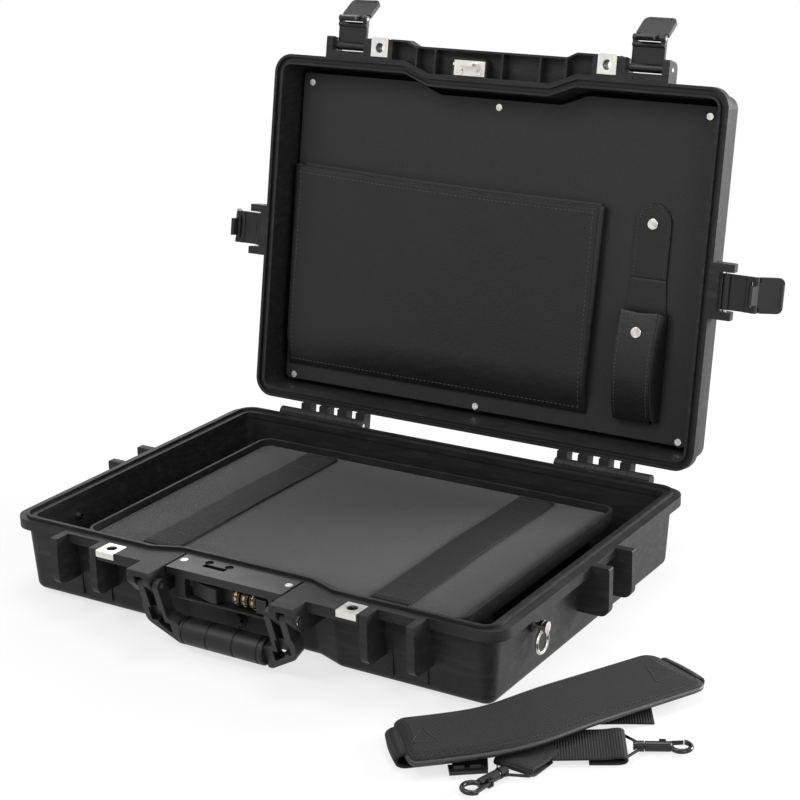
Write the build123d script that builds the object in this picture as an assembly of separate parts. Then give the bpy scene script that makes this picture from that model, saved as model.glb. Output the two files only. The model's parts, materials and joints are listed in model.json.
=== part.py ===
from build123d import *
import math
import os

os.makedirs("parts", exist_ok=True)

# Laptop hard case: a deep base, a hinged lid standing open, four toggle latches, a front handle
# with a combination lock between its brackets, a tray in the base, pouches in the lid, and a
# shoulder strap lying in front. Millimetres, +Z up, front towards -Y. The origin is on the
# resting plane under the middle of the case.

# ---- driving dimensions -------------------------------------------------------------------

# plan outline at the rims
case_width = 513.0
case_depth = 365.0
corner_radius = 20.0
recess_outer_x = 98.0
recess_inner_x = 69.0
recess_depth = 11.0
recess_bend_radius = 12.0

# shell sections
foot_height = 3.0
base_height = 73.0
lid_height = 48.0
rim_gap = 0.4
rim_height = 9.8
rim_side_lip = 4.5
wall_inset = 4.5
wall_thickness = 6.0
floor_thickness = 4.0
wall_draft = 4.0
shell_edge_radius = 8.0
rim_ledge = 2.0
rim_ledge_height = 6.0

# a corner that stays square
sharp = 0.01

# seal
tongue_inset = 3.5
tongue_width = 2.5
tongue_height = 3.0
groove_inset = 3.0
groove_width = 5.0
groove_depth = 5.0
gasket_thickness = 1.7
gasket_side_gap = 0.3

# feet
foot_width = 8.0
foot_xs = (152.0, 186.0)
centre_foot_width = 40.0
foot_end_inset = 22.0
lid_ridge_width = 8.0
wall_rib_width = 4.0
wall_rib_height = 2.5

# rear hinge
hinge_out = 13.0
hinge_drop = 2.5
knuckle_radius = 6.0
hinge_pin_radius = 2.0
knuckle_gap = 0.4
knuckle_width = 11.5
knuckle_pitch = 23.0
first_knuckle_x = 113.5
knuckle_pairs = 4
end_knuckle_extra = 12.0
knuckle_depth = 11.5
lid_open_angle = 100.0

# running fits
running_gap = 0.05
soft_gap = 0.3
seat_gap = 0.3

# latch bays
front_bay_x = 167.0
side_bay_y = 5.5
bay_gap = 38.0
fin_thickness = 7.5
fin_reach = 22.0
fin_height = 46.0
fin_corner_radius = 9.0
fin_root = 9.0
bay_block_reach = 7.4
band_reach = 5.5
band_height = 9.0
ear_height = 19.0
ear_corner_radius = 8.0

# latch arm and lever
latch_pin_out = 12.5
latch_pin_rise = 8.6
latch_pin_radius = 2.0
arm_width = 34.0
arm_thickness = 3.2
arm_barrel_radius = 4.4
arm_bar_drop = 22.0
arm_bar_radius = 2.8
lever_pin_drop = 28.4
lever_pin_radius = 1.5
arm_window_half_width = 7.0
arm_window_margin = 4.5
arm_window_depth = 2.0
arm_lug_radius = 3.4
arm_lug_width = 4.8
lever_barrel_radius = 3.0
lever_length = 25.0
lever_top_drop = 5.2
lever_thickness = 4.0
lever_corner_radius = 6.0
lever_ridge_count = 9
lever_ridge_pitch = 1.8
lever_ridge_width = 0.9
lever_ridge_height = 0.7
lever_lip_radius = 2.8
lever_lip_inset = 2.5
nose_width = 18.0
nose_gap = 0.3
arm_open_angle = 90.0
lever_open_angle = 50.0

# padlock plates and the shelf they sit in
padlock_x = 128.5
padlock_radius = 5.0
plate_width = 20.0
plate_length = 18.0
plate_thickness = 1.5
plate_drop = 6.0
shelf_height = 9.8

# handle brackets
bracket_inner_x = 64.0
bracket_outer_x = 88.0
bracket_slot_inner_x = 71.0
bracket_slot_outer_x = 80.0
bracket_reach = 42.5
bracket_cap = 5.0
bracket_nose_drop = 11.0
bracket_foot_drop = 26.0
bracket_foot_reach = 28.5
slot_back_reach = 19.0

# handle
handle_pivot_reach = 33.5
handle_pivot_drop = 13.0
handle_rest_angle = 18.0
handle_pin_radius = 2.5
handle_pin_head_radius = 4.2
handle_pin_head = 1.6
rib_depth = 12.0
outer_rib_inner_x = 72.0
outer_rib_outer_x = 79.0
inner_rib_inner_x = 56.5
inner_rib_outer_x = 63.0
handle_outer_x = 81.0
handle_kink_z = 44.0
handle_web_top_z = 38.0
handle_corner_z = 23.0
handle_foot_z = 3.5
grip_half_length = 45.0
grip_radius = 12.5
grip_core_radius = 7.0
grip_collar_length = 5.0
grip_collar_groove_inset = 5.0
grip_groove_x = 14.0
grip_groove_radius = 1.0
scallop_pitch = 28.0
scallop_radius = 16.0
scallop_depth = 3.0

# lock housing
housing_half_width = 61.5
housing_reach = 20.5
housing_height = 29.0
housing_top_plate = 7.0
housing_lip_half_width = 52.0
lock_pocket_left_x = -41.5
lock_pocket_right_x = 48.0
pocket_bottom_drop = 25.5
pocket_top_drop = 7.5
pocket_depth = 8.0
housing_screw_x = 56.0
housing_screw_reach = 1.0
screw_head_radius = 3.4
screw_head_height = 1.2
screw_shank_radius = 1.6
screw_shank_length = 8.0
screw_slot = 0.9
hasp_x = -21.5
hasp_reach = 3.0
hasp_slot_width = 24.0
hasp_slot_depth = 5.5
hasp_slot_reach = 17.0
hasp_screw_room = 0.6

# lock parts
dial_radius = 8.0
dial_width = 7.0
dial_pitch = 8.9
dial_count = 3
first_dial_x = 11.0
dial_reach = 10.5
dial_drop = 16.5
dial_flutes = 10
dial_shaft_radius = 2.0
dial_cavity_gap = 0.8
dial_shaft_seat = 1.5
slide_left_x = -37.0
slide_width = 31.0
slide_front = 2.5
slide_travel = 8.0
slide_height = 13.5
slide_gap = 0.3
bolt_height = 3.6
bolt_depth = 2.4
bolt_clear = 2.6
bolt_length = 5.4
stem_width = 4.0
button_x = 40.5
button_width = 11.0
button_height = 13.0
button_travel = 2.0
button_gap = 0.3

# tray and padding in the base
floor_pad_thickness = 12.0
block_size = 56.0
block_height = 28.0
tray_half_width = 205.0
tray_half_depth = 146.0
tray_thickness = 3.0
tray_rim_height = 14.0
tray_corner_radius = 14.0
tray_pad_thickness = 5.0
tray_strap_x = 125.0
tray_strap_width = 38.0
tray_strap_thickness = 2.0
tray_strap_length = 270.0

# strap rings on the side walls
ring_inset = 74.5
ring_drop = 22.0
post_radius = 3.0
post_head_radius = 5.0
post_head_thickness = 3.0
post_reach = 13.0
ring_wire_radius = 1.6
ring_width = 22.0
ring_height = 21.0
ring_eye_radius = 5.2

# pressure valve
valve_x = -17.0
valve_z = 21.0
valve_radius = 9.0
valve_thickness = 4.0

# lid furniture
lid_shelf_height = 13.0
lid_shelf_centre_reach = 17.5
lid_shelf_centre_x = 86.0
lid_shelf_curve_x = 96.0
shelf_wall = 2.2
shelf_pocket_depth = 10.0
shelf_pocket_end_x = 113.0
shelf_rib_xs = (-84.0, -62.0, 15.0, 57.0, 85.0)
hasp_seat_corner = 4.0
hasp_plate_half_width = 17.5
hasp_plate_back_inset = 8.0
hasp_plate_reach = 7.0
hasp_plate_thickness = 1.6
hasp_tongue_width = 22.0
hasp_tongue_thickness = 2.5
hasp_tongue_length = 14.0
hasp_screw_dx = 10.7
hasp_screw_inset = 4.0
panel_rise = 30.0
panel_thickness = 2.0
panel_inset = 18.5
panel_screw_side_inset = 29.5
panel_screw_front_inset = 28.0
panel_screw_rear_inset = 22.5
panel_middle_front_inset = 37.0
panel_boss_radius = 6.0

# pouches on the panel
pouch_left_inset = 23.5
pouch_pocket_space = 32.0
pouch_mouth_left_y = -66.0
pouch_mouth_right_y = -58.0
pouch_bottom_inset = 34.5
pouch_depth = 13.0
pouch_sheet = 1.6
pocket_side_inset = 50.5
pocket_width = 48.0
pocket_mouth_y = 36.0
pocket_bottom_y = 145.0
pocket_mouth_depth = 14.0
pocket_belly_depth = 22.0
flap_inset = 3.0
flap_width = 38.0
flap_top_y = -67.0
flap_fold_y = 5.0
flap_thickness = 2.2
snap_radius = 5.5
snap_thickness = 1.6
flap_snap_y = -47.5
pocket_snap_y = 57.0

# shoulder strap on the floor
pad_left_out, pad_left_back = -35.5, -87.5
pad_second_out, pad_second_back = 22.5, -33.5
pad_third_out, pad_third_back = 56.5, 38.5
pad_right_out, pad_right_back = 100.5, 134.5
pad_width = 75.0
pad_corner_radius = 14.0
pad_base_z = 6.6
pad_thickness = 11.0
webbing_thickness = 3.0
run_width = 38.0
left_end_out, left_end_back = 57.5, -17.5
left_end_width = 36.0
right_end_out, right_end_back = 55.5, -27.5
right_end_width = 50.0
spare_out, spare_back = 69.5, 44.5
spare_end_out, spare_end_back = 109.5, 67.5
tail_out, tail_back = 3.5, -48.5
tail_end_out, tail_end_back = 27.5, -89.5
spare_width = 28.0
buckle_out, buckle_back = 24.5, -87.5
buckle_turn = 37.0
buckle_length = 30.0
buckle_width = 12.0
buckle_thickness = 3.0
buckle_window_dx = 6.5
buckle_window_length = 9.0
buckle_window_width = 7.0
left_hook_out, left_hook_back = 49.5, -79.5
left_hook_turn = -104.0
left_loop_turn = 176.0
right_hook_out, right_hook_back = 123.5, 11.0
right_hook_turn = 28.5
right_loop_turn = 181.0
loop_depth = 16.0
loop_half_width = 24.0
loop_wire = 2.2
hook_body_radius = 4.2
hook_eye_radius = 10.0
hook_wire = 2.1
gate_width = 3.0
swivel_radius = 4.6

# ---- worked out from the above ------------------------------------------------------------

half_width = case_width / 2
half_depth = case_depth / 2
bracket_front_y = -half_depth - bracket_reach
bracket_foot_y = -half_depth - bracket_foot_reach
slot_back_y = -half_depth - slot_back_reach
handle_pivot_y = -half_depth - handle_pivot_reach
housing_front_y = -half_depth - housing_reach
housing_screw_y = -half_depth - housing_screw_reach
hasp_y = -half_depth - hasp_reach
dial_y = -half_depth - dial_reach
ring_y = -half_depth + ring_inset
lid_shelf_centre_y = -half_depth - lid_shelf_centre_reach
hasp_plate_back_y = -half_depth + hasp_plate_back_inset
hasp_plate_front_y = -half_depth - hasp_plate_reach
hasp_screw_y = -half_depth + hasp_screw_inset
rim_z = foot_height + base_height
shelf_front_y = -half_depth - fin_reach
padlock_y = shelf_front_y + plate_length / 2
fin_bottom_z = rim_z - fin_height
bracket_nose_z = rim_z - bracket_nose_drop
bracket_foot_z = rim_z - bracket_foot_drop
handle_pivot_z = rim_z - handle_pivot_drop
housing_bottom_z = rim_z - housing_height
pocket_bottom_z = rim_z - pocket_bottom_drop
pocket_top_z = rim_z - pocket_top_drop
hasp_slot_bottom_z = rim_z - hasp_slot_reach
dial_z = rim_z - dial_drop
ring_z = rim_z - ring_drop
hasp_seat_half_width = hasp_plate_half_width + shelf_wall
hasp_seat_front_y = hasp_plate_front_y - shelf_wall
lid_rim_z = rim_z + rim_gap
lid_top_z = rim_z + lid_height
floor_z = foot_height + floor_thickness
hinge_y = half_depth + hinge_out
hinge_z = rim_z - hinge_drop
latch_pin_z = lid_rim_z + latch_pin_rise
lever_pin_z = latch_pin_z - lever_pin_drop
ledge_inset = wall_inset + wall_thickness + rim_ledge
panel_z = rim_z + panel_rise
lid_inside_z = lid_top_z - floor_thickness
wall_slope = math.tan(math.radians(wall_draft))
shelf_half_width = front_bay_x - bay_gap / 2 - fin_thickness
panel_screw_x = half_width - panel_screw_side_inset
panel_screw_front_y = -half_depth + panel_screw_front_inset
panel_screw_rear_y = half_depth - panel_screw_rear_inset
panel_middle_front_y = -half_depth + panel_middle_front_inset
pocket_right_x = half_width - pocket_side_inset
pocket_left_x = pocket_right_x - pocket_width
pouch_left_x = -half_width + pouch_left_inset
pouch_right_x = pocket_left_x - pouch_pocket_space
pouch_bottom_y = half_depth - pouch_bottom_inset
flap_left_x = pocket_left_x + flap_inset
flap_right_x = flap_left_x + flap_width


# ---- helpers ------------------------------------------------------------------------------

def box(x0, x1, y0, y1, z0, z1):
    """A box between two corners."""
    size = Box(abs(x1 - x0), abs(y1 - y0), abs(z1 - z0))
    return Pos((x0 + x1) / 2, (y0 + y1) / 2, (z0 + z1) / 2) * size


def rod_x(x0, x1, y, z, radius):
    """A round rod along X."""
    return Pos((x0 + x1) / 2, y, z) * Rot(0, 90, 0) * Cylinder(radius, abs(x1 - x0))


def rod_y(x, y0, y1, z, radius):
    """A round rod along Y."""
    return Pos(x, (y0 + y1) / 2, z) * Rot(90, 0, 0) * Cylinder(radius, abs(y1 - y0))


def rod_z(x, y, z0, z1, radius):
    """A round rod along Z."""
    return Pos(x, y, (z0 + z1) / 2) * Cylinder(radius, abs(z1 - z0))


def side_profile(points, radii, x0, x1):
    """A closed YZ profile with rounded corners, drawn along X from x0 to x1."""
    outline = FilletPolyline(*points, radius=radii, close=True)
    face = Plane.YZ * make_face(outline)
    return Pos(x0, 0, 0) * extrude(face, x1 - x0)


def front_profile(points, radii, y0, y1):
    """A closed XZ profile with rounded corners, drawn along Y from y0 back to y1."""
    outline = FilletPolyline(*points, radius=radii, close=True)
    face = Plane.XZ * make_face(outline)
    return Pos(0, y1, 0) * extrude(face, y1 - y0)


def plan_profile(points, radii, z0, z1):
    """A closed XY profile with rounded corners, drawn up from z0 to z1."""
    outline = FilletPolyline(*points, radius=radii, close=True)
    return Pos(0, 0, z0) * extrude(make_face(outline), z1 - z0)


def turned_x(shape, y, z, degrees):
    """A shape turned about the axis along X through y, z."""
    return Pos(0, y, z) * Rot(degrees, 0, 0) * Pos(0, -y, -z) * shape


def opened(shape):
    """A lid piece, drawn with the lid shut, carried to the open lid."""
    return turned_x(shape, hinge_y, hinge_z, -lid_open_angle)


def mirrored(shape):
    """The same shape on the other side of the case."""
    return mirror(shape, about=Plane.YZ)


def save(name, shape):
    """Write one sub-part."""
    export_step(shape, f"parts/{name}.step")


def case_outline(inset, side_lip=0.0):
    """The plan outline of the case, set in from the rim, with the recess at the front centre."""
    x = half_width + side_lip - inset
    front = -half_depth + inset
    back = half_depth - inset
    corner = max(corner_radius - inset, 5.0)
    bend = recess_bend_radius
    points = [
        (-x, back), (-x, front),
        (-recess_outer_x, front), (-recess_inner_x, front + recess_depth),
        (recess_inner_x, front + recess_depth), (recess_outer_x, front),
        (x, front), (x, back),
    ]
    radii = [corner, corner, bend, bend, bend, bend, corner, corner]
    return make_face(FilletPolyline(*points, radius=radii, close=True))


def outline_slab(inset, z0, z1):
    """A slab with the case outline."""
    return Pos(0, 0, z0) * extrude(case_outline(inset), z1 - z0)


def outline_band(inset, width, z0, z1):
    """A band that follows the case outline."""
    return outline_slab(inset, z0, z1) - outline_slab(inset + width, z0 - 1, z1 + 1)


def tub(inset, rim, depth):
    """A drafted tub solid that hangs from the rim plane and narrows downwards."""
    bottom_inset = inset + depth * wall_slope
    body = extrude(case_outline(bottom_inset), depth, taper=-wall_draft)
    body = fillet(body.faces().sort_by(Axis.Z)[0].edges(), shell_edge_radius)
    return Pos(0, 0, rim - depth) * body


def flipped_lid(shape):
    """A shape drawn hanging below z = 0, turned upside down onto the lid's rim plane."""
    return Pos(0, 0, lid_rim_z) * mirror(shape, about=Plane.XY)


def bay(name):
    """The place of a latch bay: its local front is -Y and its local y = 0 is the rim's edge."""
    places = {
        "front_left": Pos(-front_bay_x, -half_depth, 0),
        "front_right": Pos(front_bay_x, -half_depth, 0),
        "side_left": Pos(-half_width, side_bay_y, 0) * Rot(0, 0, -90),
        "side_right": Pos(half_width, side_bay_y, 0) * Rot(0, 0, 90),
    }
    return places[name]


bay_names = ("front_left", "front_right", "side_left", "side_right")


# ---- base shell ---------------------------------------------------------------------------

def base_fins():
    """Two fins either side of a latch bay, and the band the latch catches under."""
    points = [
        (fin_root, rim_z), (-fin_reach, rim_z),
        (-fin_reach, fin_bottom_z), (fin_root, fin_bottom_z),
    ]
    fin = side_profile(points, [sharp, 1.5, fin_corner_radius, sharp], 0, fin_thickness)
    right = Pos(bay_gap / 2, 0, 0) * fin
    left = Pos(-bay_gap / 2 - fin_thickness, 0, 0) * fin
    half_gap = bay_gap / 2 + 1
    band = box(-half_gap, half_gap, -band_reach, wall_inset + 2, rim_z - band_height, rim_z)
    return right + left + band


def knuckle_spans():
    """The X spans of the base's knuckles and of the lid's, on one side of the case."""
    base_spans = []
    lid_spans = []
    for pair in range(knuckle_pairs):
        lid_start = first_knuckle_x + pair * knuckle_pitch
        base_start = lid_start + knuckle_width
        base_width = knuckle_pitch - knuckle_width
        if pair == knuckle_pairs - 1:
            base_width = base_width + end_knuckle_extra
        lid_spans.append((lid_start, lid_start + knuckle_width - knuckle_gap))
        base_spans.append((base_start, base_start + base_width - knuckle_gap))
    return base_spans, lid_spans


def base_knuckle(x0, x1):
    """One knuckle of the base, from the rear wall out to the hinge pin."""
    root_y = half_depth - wall_inset - 1
    arm = box(x0, x1, root_y, hinge_y, hinge_z - knuckle_depth, hinge_z)
    return arm + rod_x(x0, x1, hinge_y, hinge_z, knuckle_radius)


def lid_knuckle(x0, x1):
    """One knuckle of the lid, drawn with the lid shut."""
    top_z = lid_rim_z + rim_height
    block = box(x0, x1, half_depth + 0.5, hinge_y + knuckle_radius, hinge_z, top_z)
    root = box(x0, x1, half_depth - 2, half_depth + 1, lid_rim_z, top_z)
    return block + root + rod_x(x0, x1, hinge_y, hinge_z, knuckle_radius)


def handle_bracket():
    """The forked bracket on the right of the lock housing."""
    root_y = -half_depth + recess_depth + 3
    points = [
        (root_y, rim_z), (bracket_front_y, rim_z), (bracket_front_y, bracket_nose_z),
        (bracket_foot_y, bracket_foot_z), (root_y, bracket_foot_z),
    ]
    block = side_profile(points, [sharp, 1.5, 9.0, 4.0, sharp], bracket_inner_x, bracket_outer_x)
    slot = box(
        bracket_slot_inner_x, bracket_slot_outer_x, bracket_front_y - 1, slot_back_y,
        bracket_foot_z - 1, rim_z - bracket_cap,
    )
    bore = rod_x(
        bracket_inner_x - 1, bracket_outer_x + 1, handle_pivot_y, handle_pivot_z,
        handle_pin_radius + running_gap,
    )
    return block - slot - bore


def padlock_shelf():
    """The shelf between the right bracket and the latch bay, cut for its steel plate."""
    points = [
        (bracket_outer_x - 2, -half_depth + recess_depth + 3), (bracket_outer_x - 2, shelf_front_y),
        (shelf_half_width, shelf_front_y), (shelf_half_width, -half_depth + recess_depth + 3),
    ]
    shelf = plan_profile(points, [sharp, 2.0, 3.0, sharp], rim_z - shelf_height, rim_z)
    hole = rod_z(padlock_x, padlock_y, rim_z - 20, rim_z + 1, padlock_radius)
    return shelf - padlock_plate_blank(rim_z, -1) - hole


def padlock_plate_blank(face_z, up):
    """The L-shaped plate solid whose wide face lies on face_z; up is 1 on the lid, -1 below."""
    x0 = padlock_x - plate_width / 2
    x1 = padlock_x + plate_width / 2
    back_y = shelf_front_y + plate_length
    top = box(x0, x1, shelf_front_y, back_y, face_z, face_z + up * plate_thickness)
    front_y = shelf_front_y - plate_thickness
    front = box(x0, x1, front_y, shelf_front_y, face_z, face_z + up * plate_drop)
    return top + front


def padlock_plates(face_z, up):
    """Both padlock plates of one shell."""
    plate = padlock_plate_blank(face_z, up)
    hole = rod_z(padlock_x, padlock_y, face_z - 5, face_z + 5, padlock_radius)
    plate = plate - hole
    return plate + mirrored(plate)


def ring_boss():
    """The round boss on the right wall that carries the strap post."""
    wall_x = half_width - wall_inset - (rim_z - ring_z) * wall_slope
    return rod_x(wall_x - 4, wall_x + 2.5, ring_y, ring_z, post_head_radius + 2)


def front_ribs():
    """The thin upright ribs on the front wall and the feet that they run into."""
    ribs = None
    wall_y = -half_depth + wall_inset + base_height * wall_slope
    for x in foot_xs:
        rib = box(
            x - wall_rib_width / 2, x + wall_rib_width / 2,
            wall_y - wall_rib_height, wall_y + 4, foot_height + shell_edge_radius, rim_z - rim_height,
        )
        ribs = rib if ribs is None else ribs + rib
    return ribs


def feet(z0, z1, ridge_width):
    """Long ridges on a shell's outer face, on both sides of the middle."""
    end_y = half_depth - foot_end_inset
    ridges = None
    for x in foot_xs:
        ridge = box(x - ridge_width / 2, x + ridge_width / 2, -end_y, end_y, z0, z1)
        ridges = ridge if ridges is None else ridges + ridge
    return ridges + mirrored(ridges)


def base_side_lips():
    """The base rim's lips, which stand out past the lid's rim at the sides."""
    lips = extrude(case_outline(0, rim_side_lip), rim_height)
    lips = Pos(0, 0, rim_z - rim_height) * lips
    for side in ("side_left", "side_right"):
        half = bay_gap / 2 + fin_thickness
        lips -= bay(side) * box(-half, half, -rim_side_lip - 1, 0, 0, rim_z + 1)
    return lips


def base_shell():
    """The moulded base."""
    shell = tub(wall_inset, rim_z, base_height)
    shell += outline_slab(0, rim_z - rim_height, rim_z) + base_side_lips()
    shell += outline_band(tongue_inset, tongue_width, rim_z - 1, rim_z + tongue_height)
    base_spans, _ = knuckle_spans()
    right = handle_bracket() + padlock_shelf() + ring_boss() + front_ribs()
    for x0, x1 in base_spans:
        right += base_knuckle(x0, x1)
    shell += right
    shell += mirrored(right)
    for name in bay_names:
        shell += bay(name) * base_fins()
    shell += feet(0, foot_height + 1, foot_width)
    centre_end = half_depth - foot_end_inset - recess_depth
    shell += box(
        -centre_foot_width / 2, centre_foot_width / 2, -centre_end, centre_end, 0, foot_height + 1,
    )
    valve_wall_y = valve_face_y()
    shell += rod_y(valve_x, valve_wall_y, valve_wall_y + 5, valve_z, valve_radius + 2)
    inside = tub(wall_inset + wall_thickness, rim_z, rim_z - floor_z)
    shell -= inside - outline_band(0, ledge_inset, rim_z - rim_ledge_height, rim_z + 1)
    shell -= outline_slab(ledge_inset, rim_z - 1, rim_z + tongue_height + 1)
    pin_end = base_spans[-1][1]
    bore = rod_x(first_knuckle_x, pin_end - 2, hinge_y, hinge_z, hinge_pin_radius + running_gap)
    shell -= bore
    shell -= mirrored(bore)
    post_hole = rod_x(
        half_width - 30, half_width, ring_y, ring_z, post_radius,
    )
    shell -= post_hole
    shell -= mirrored(post_hole)
    return shell


def hinge_pins():
    """The two steel hinge pins."""
    base_spans, _ = knuckle_spans()
    pin = rod_x(first_knuckle_x, base_spans[-1][1] - 2, hinge_y, hinge_z, hinge_pin_radius)
    return pin + mirrored(pin)


def strap_posts():
    """The steel posts that carry the strap rings."""
    inner_x = half_width - 16
    outer_x = half_width - wall_inset + post_reach
    post = rod_x(inner_x, outer_x, ring_y, ring_z, post_radius)
    post += rod_x(outer_x - post_head_thickness, outer_x, ring_y, ring_z, post_head_radius)
    return post + mirrored(post)


def strap_ring():
    """The right strap ring, hanging from its post."""
    x = half_width - wall_inset + post_reach - post_head_thickness - ring_wire_radius - 1
    eye = rod_x(x - ring_wire_radius, x + ring_wire_radius, ring_y, ring_z, ring_eye_radius)
    centre_z = ring_z - ring_eye_radius - ring_height / 2 + ring_wire_radius
    path = SlotCenterToCenter(ring_height - ring_width + 2, ring_width - 2 * ring_wire_radius)
    path = Plane.YZ * Rot(0, 0, 90) * path
    wire_start = Plane(path.face().outer_wire() @ 0, z_dir=path.face().outer_wire() % 0)
    ring = sweep(wire_start * Circle(ring_wire_radius), path.face().outer_wire())
    ring = Pos(x, ring_y, centre_z) * ring
    bore = rod_x(x - 5, x + 5, ring_y, ring_z, post_radius + running_gap)
    return (eye + ring) - bore


def valve_face_y():
    """The front face of the valve's boss on the recessed front wall."""
    return -half_depth + recess_depth + wall_inset + (rim_z - valve_z) * wall_slope - 2


def pressure_valve():
    """The round pressure valve on the front wall."""
    face_y = valve_face_y()
    knob = rod_y(valve_x, face_y - valve_thickness, face_y, valve_z, valve_radius)
    knob = chamfer(knob.faces().sort_by(Axis.Y)[0].edges(), 1.0)
    for turn in range(8):
        angle = math.radians(45 * turn)
        knob -= rod_y(
            valve_x + valve_radius * math.cos(angle), face_y - valve_thickness - 1, face_y - 1,
            valve_z + valve_radius * math.sin(angle), 1.4,
        )
    return knob


# ---- lock housing and lock ----------------------------------------------------------------

def housing_back_y():
    """Where the housing meets the recessed rim."""
    return -half_depth + recess_depth


def lock_housing():
    """The housing between the handle brackets."""
    back_y = housing_back_y()
    lip_points = [
        (back_y, rim_z), (housing_front_y, rim_z), (housing_front_y, housing_bottom_z),
        (back_y, housing_bottom_z),
    ]
    half = housing_lip_half_width
    body = side_profile(lip_points, [sharp, 1.2, 4.0, sharp], -half, half)
    top = box(
        -housing_half_width, housing_half_width, housing_front_y, back_y,
        rim_z - housing_top_plate, rim_z,
    )
    body += top
    pocket_back = housing_front_y + pocket_depth
    body -= front_profile(
        [
            (lock_pocket_left_x, pocket_bottom_z), (lock_pocket_right_x, pocket_bottom_z),
            (lock_pocket_right_x, pocket_top_z), (lock_pocket_left_x, pocket_top_z),
        ],
        [2.0, 2.0, 2.0, 2.0], housing_front_y - 1, pocket_back,
    )
    last_dial_x = first_dial_x + dial_pitch * (dial_count - 1)
    room = dial_radius + dial_cavity_gap
    dial_x0 = first_dial_x - dial_width / 2 - dial_cavity_gap
    dial_x1 = last_dial_x + dial_width / 2 + dial_cavity_gap
    body -= box(dial_x0, dial_x1, pocket_back - 1, dial_y + room, dial_z - room, dial_z + room)
    body -= rod_x(
        dial_x0 - dial_shaft_seat, dial_x1 + dial_shaft_seat, dial_y, dial_z, dial_shaft_radius,
    )
    body -= box(
        hasp_x - hasp_slot_width / 2, hasp_x + hasp_slot_width / 2,
        hasp_y - hasp_slot_depth / 2, hasp_y + hasp_slot_depth / 2, hasp_slot_bottom_z, rim_z + 1,
    )
    bolt_x0, bolt_x1 = bolt_span()
    body -= box(
        bolt_x0 - slide_gap, hasp_x, hasp_y - bolt_depth / 2 - slide_gap,
        hasp_y + bolt_depth / 2 + slide_gap, bolt_z() - bolt_height / 2 - slide_gap,
        bolt_z() + bolt_height / 2 + slide_gap,
    )
    stem_x0, stem_x1 = stem_span()
    body -= box(
        stem_x0 - slide_gap, stem_x1 + slide_travel + slide_gap, pocket_back - 1, hasp_y,
        bolt_z() - bolt_height / 2 - slide_gap, bolt_z() + bolt_height / 2 + slide_gap,
    )
    body -= box(
        button_x - button_width / 2 - button_gap, button_x + button_width / 2 + button_gap,
        pocket_back - 1, pocket_back + button_travel + 5,
        dial_z - button_height / 2 - button_gap, dial_z + button_height / 2 + button_gap,
    )
    for side in (-1, 1):
        body -= rod_z(
            side * housing_screw_x, housing_screw_y, rim_z - screw_shank_length - 2, rim_z + 1,
            screw_shank_radius,
        )
        body -= rod_z(
            side * housing_screw_x, housing_screw_y, rim_z - screw_head_height, rim_z + 1,
            screw_head_radius + running_gap,
        )
        body -= rod_z(
            hasp_x + side * hasp_screw_dx, hasp_screw_y, rim_z - screw_head_height - hasp_screw_room,
            rim_z + 1, screw_head_radius + hasp_screw_room,
        )
    return body


def bolt_z():
    """The height of the lock bolt."""
    return pocket_top_z - slide_gap - bolt_height / 2 - 1


def bolt_span():
    """The X span of the lock bolt at rest, clear of the hasp tongue."""
    tongue_left = hasp_x - hasp_tongue_width / 2
    end_x = tongue_left - bolt_clear
    return end_x - bolt_length, end_x


def stem_span():
    """The X span of the stem that joins the slide to its bolt."""
    bolt_x0, _ = bolt_span()
    return bolt_x0, bolt_x0 + stem_width


def lock_slide():
    """The slide in the pocket, with the stem and the bolt behind it."""
    pocket_back = housing_front_y + pocket_depth
    x0 = slide_left_x
    x1 = slide_left_x + slide_width
    z0 = dial_z - slide_height / 2
    z1 = dial_z + slide_height / 2
    points = [
        (x0, pocket_back - slide_gap), (x0, pocket_back - 3),
        (x1 - 5, housing_front_y - slide_front), (x1, housing_front_y - slide_front),
        (x1, pocket_back - slide_gap),
    ]
    slide = plan_profile(points, [sharp, 0.5, 1.0, 1.5, sharp], z0, z1)
    bolt_x0, bolt_x1 = bolt_span()
    stem_x0, stem_x1 = stem_span()
    low = bolt_z() - bolt_height / 2
    high = bolt_z() + bolt_height / 2
    neck = box(stem_x0, x0 + 4, pocket_back - 3, pocket_back - slide_gap, low - 3, high)
    stem = box(stem_x0, stem_x1, pocket_back - 3, hasp_y, low, high)
    bolt = box(bolt_x0, bolt_x1, hasp_y - bolt_depth / 2, hasp_y + bolt_depth / 2, low, high)
    return slide + neck + stem + bolt


def lock_dial(index):
    """One fluted dial of the combination."""
    x = first_dial_x + index * dial_pitch
    dial = rod_x(x - dial_width / 2, x + dial_width / 2, dial_y, dial_z, dial_radius)
    dial = chamfer(dial.edges().filter_by(GeomType.CIRCLE), 0.6)
    for flute in range(dial_flutes):
        angle = 2 * math.pi * (flute + 0.5) / dial_flutes
        dial -= rod_x(
            x - dial_width, x + dial_width, dial_y + (dial_radius + 0.5) * math.cos(angle),
            dial_z + (dial_radius + 0.5) * math.sin(angle), 1.1,
        )
    return dial - rod_x(x - 10, x + 10, dial_y, dial_z, dial_shaft_radius + running_gap)


def dial_shaft():
    """The shaft the dials turn on."""
    last_dial_x = first_dial_x + dial_pitch * (dial_count - 1)
    x0 = first_dial_x - dial_width / 2 - dial_cavity_gap - dial_shaft_seat
    x1 = last_dial_x + dial_width / 2 + dial_cavity_gap + dial_shaft_seat
    return rod_x(x0, x1, dial_y, dial_z, dial_shaft_radius)


def lock_button():
    """The push button at the right of the dials."""
    pocket_back = housing_front_y + pocket_depth
    front_y = housing_front_y - 1
    button = box(
        button_x - button_width / 2, button_x + button_width / 2, front_y, pocket_back + 2,
        dial_z - button_height / 2, dial_z + button_height / 2,
    )
    return fillet(button.edges().group_by(Axis.Y)[0], 1.0)


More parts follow.
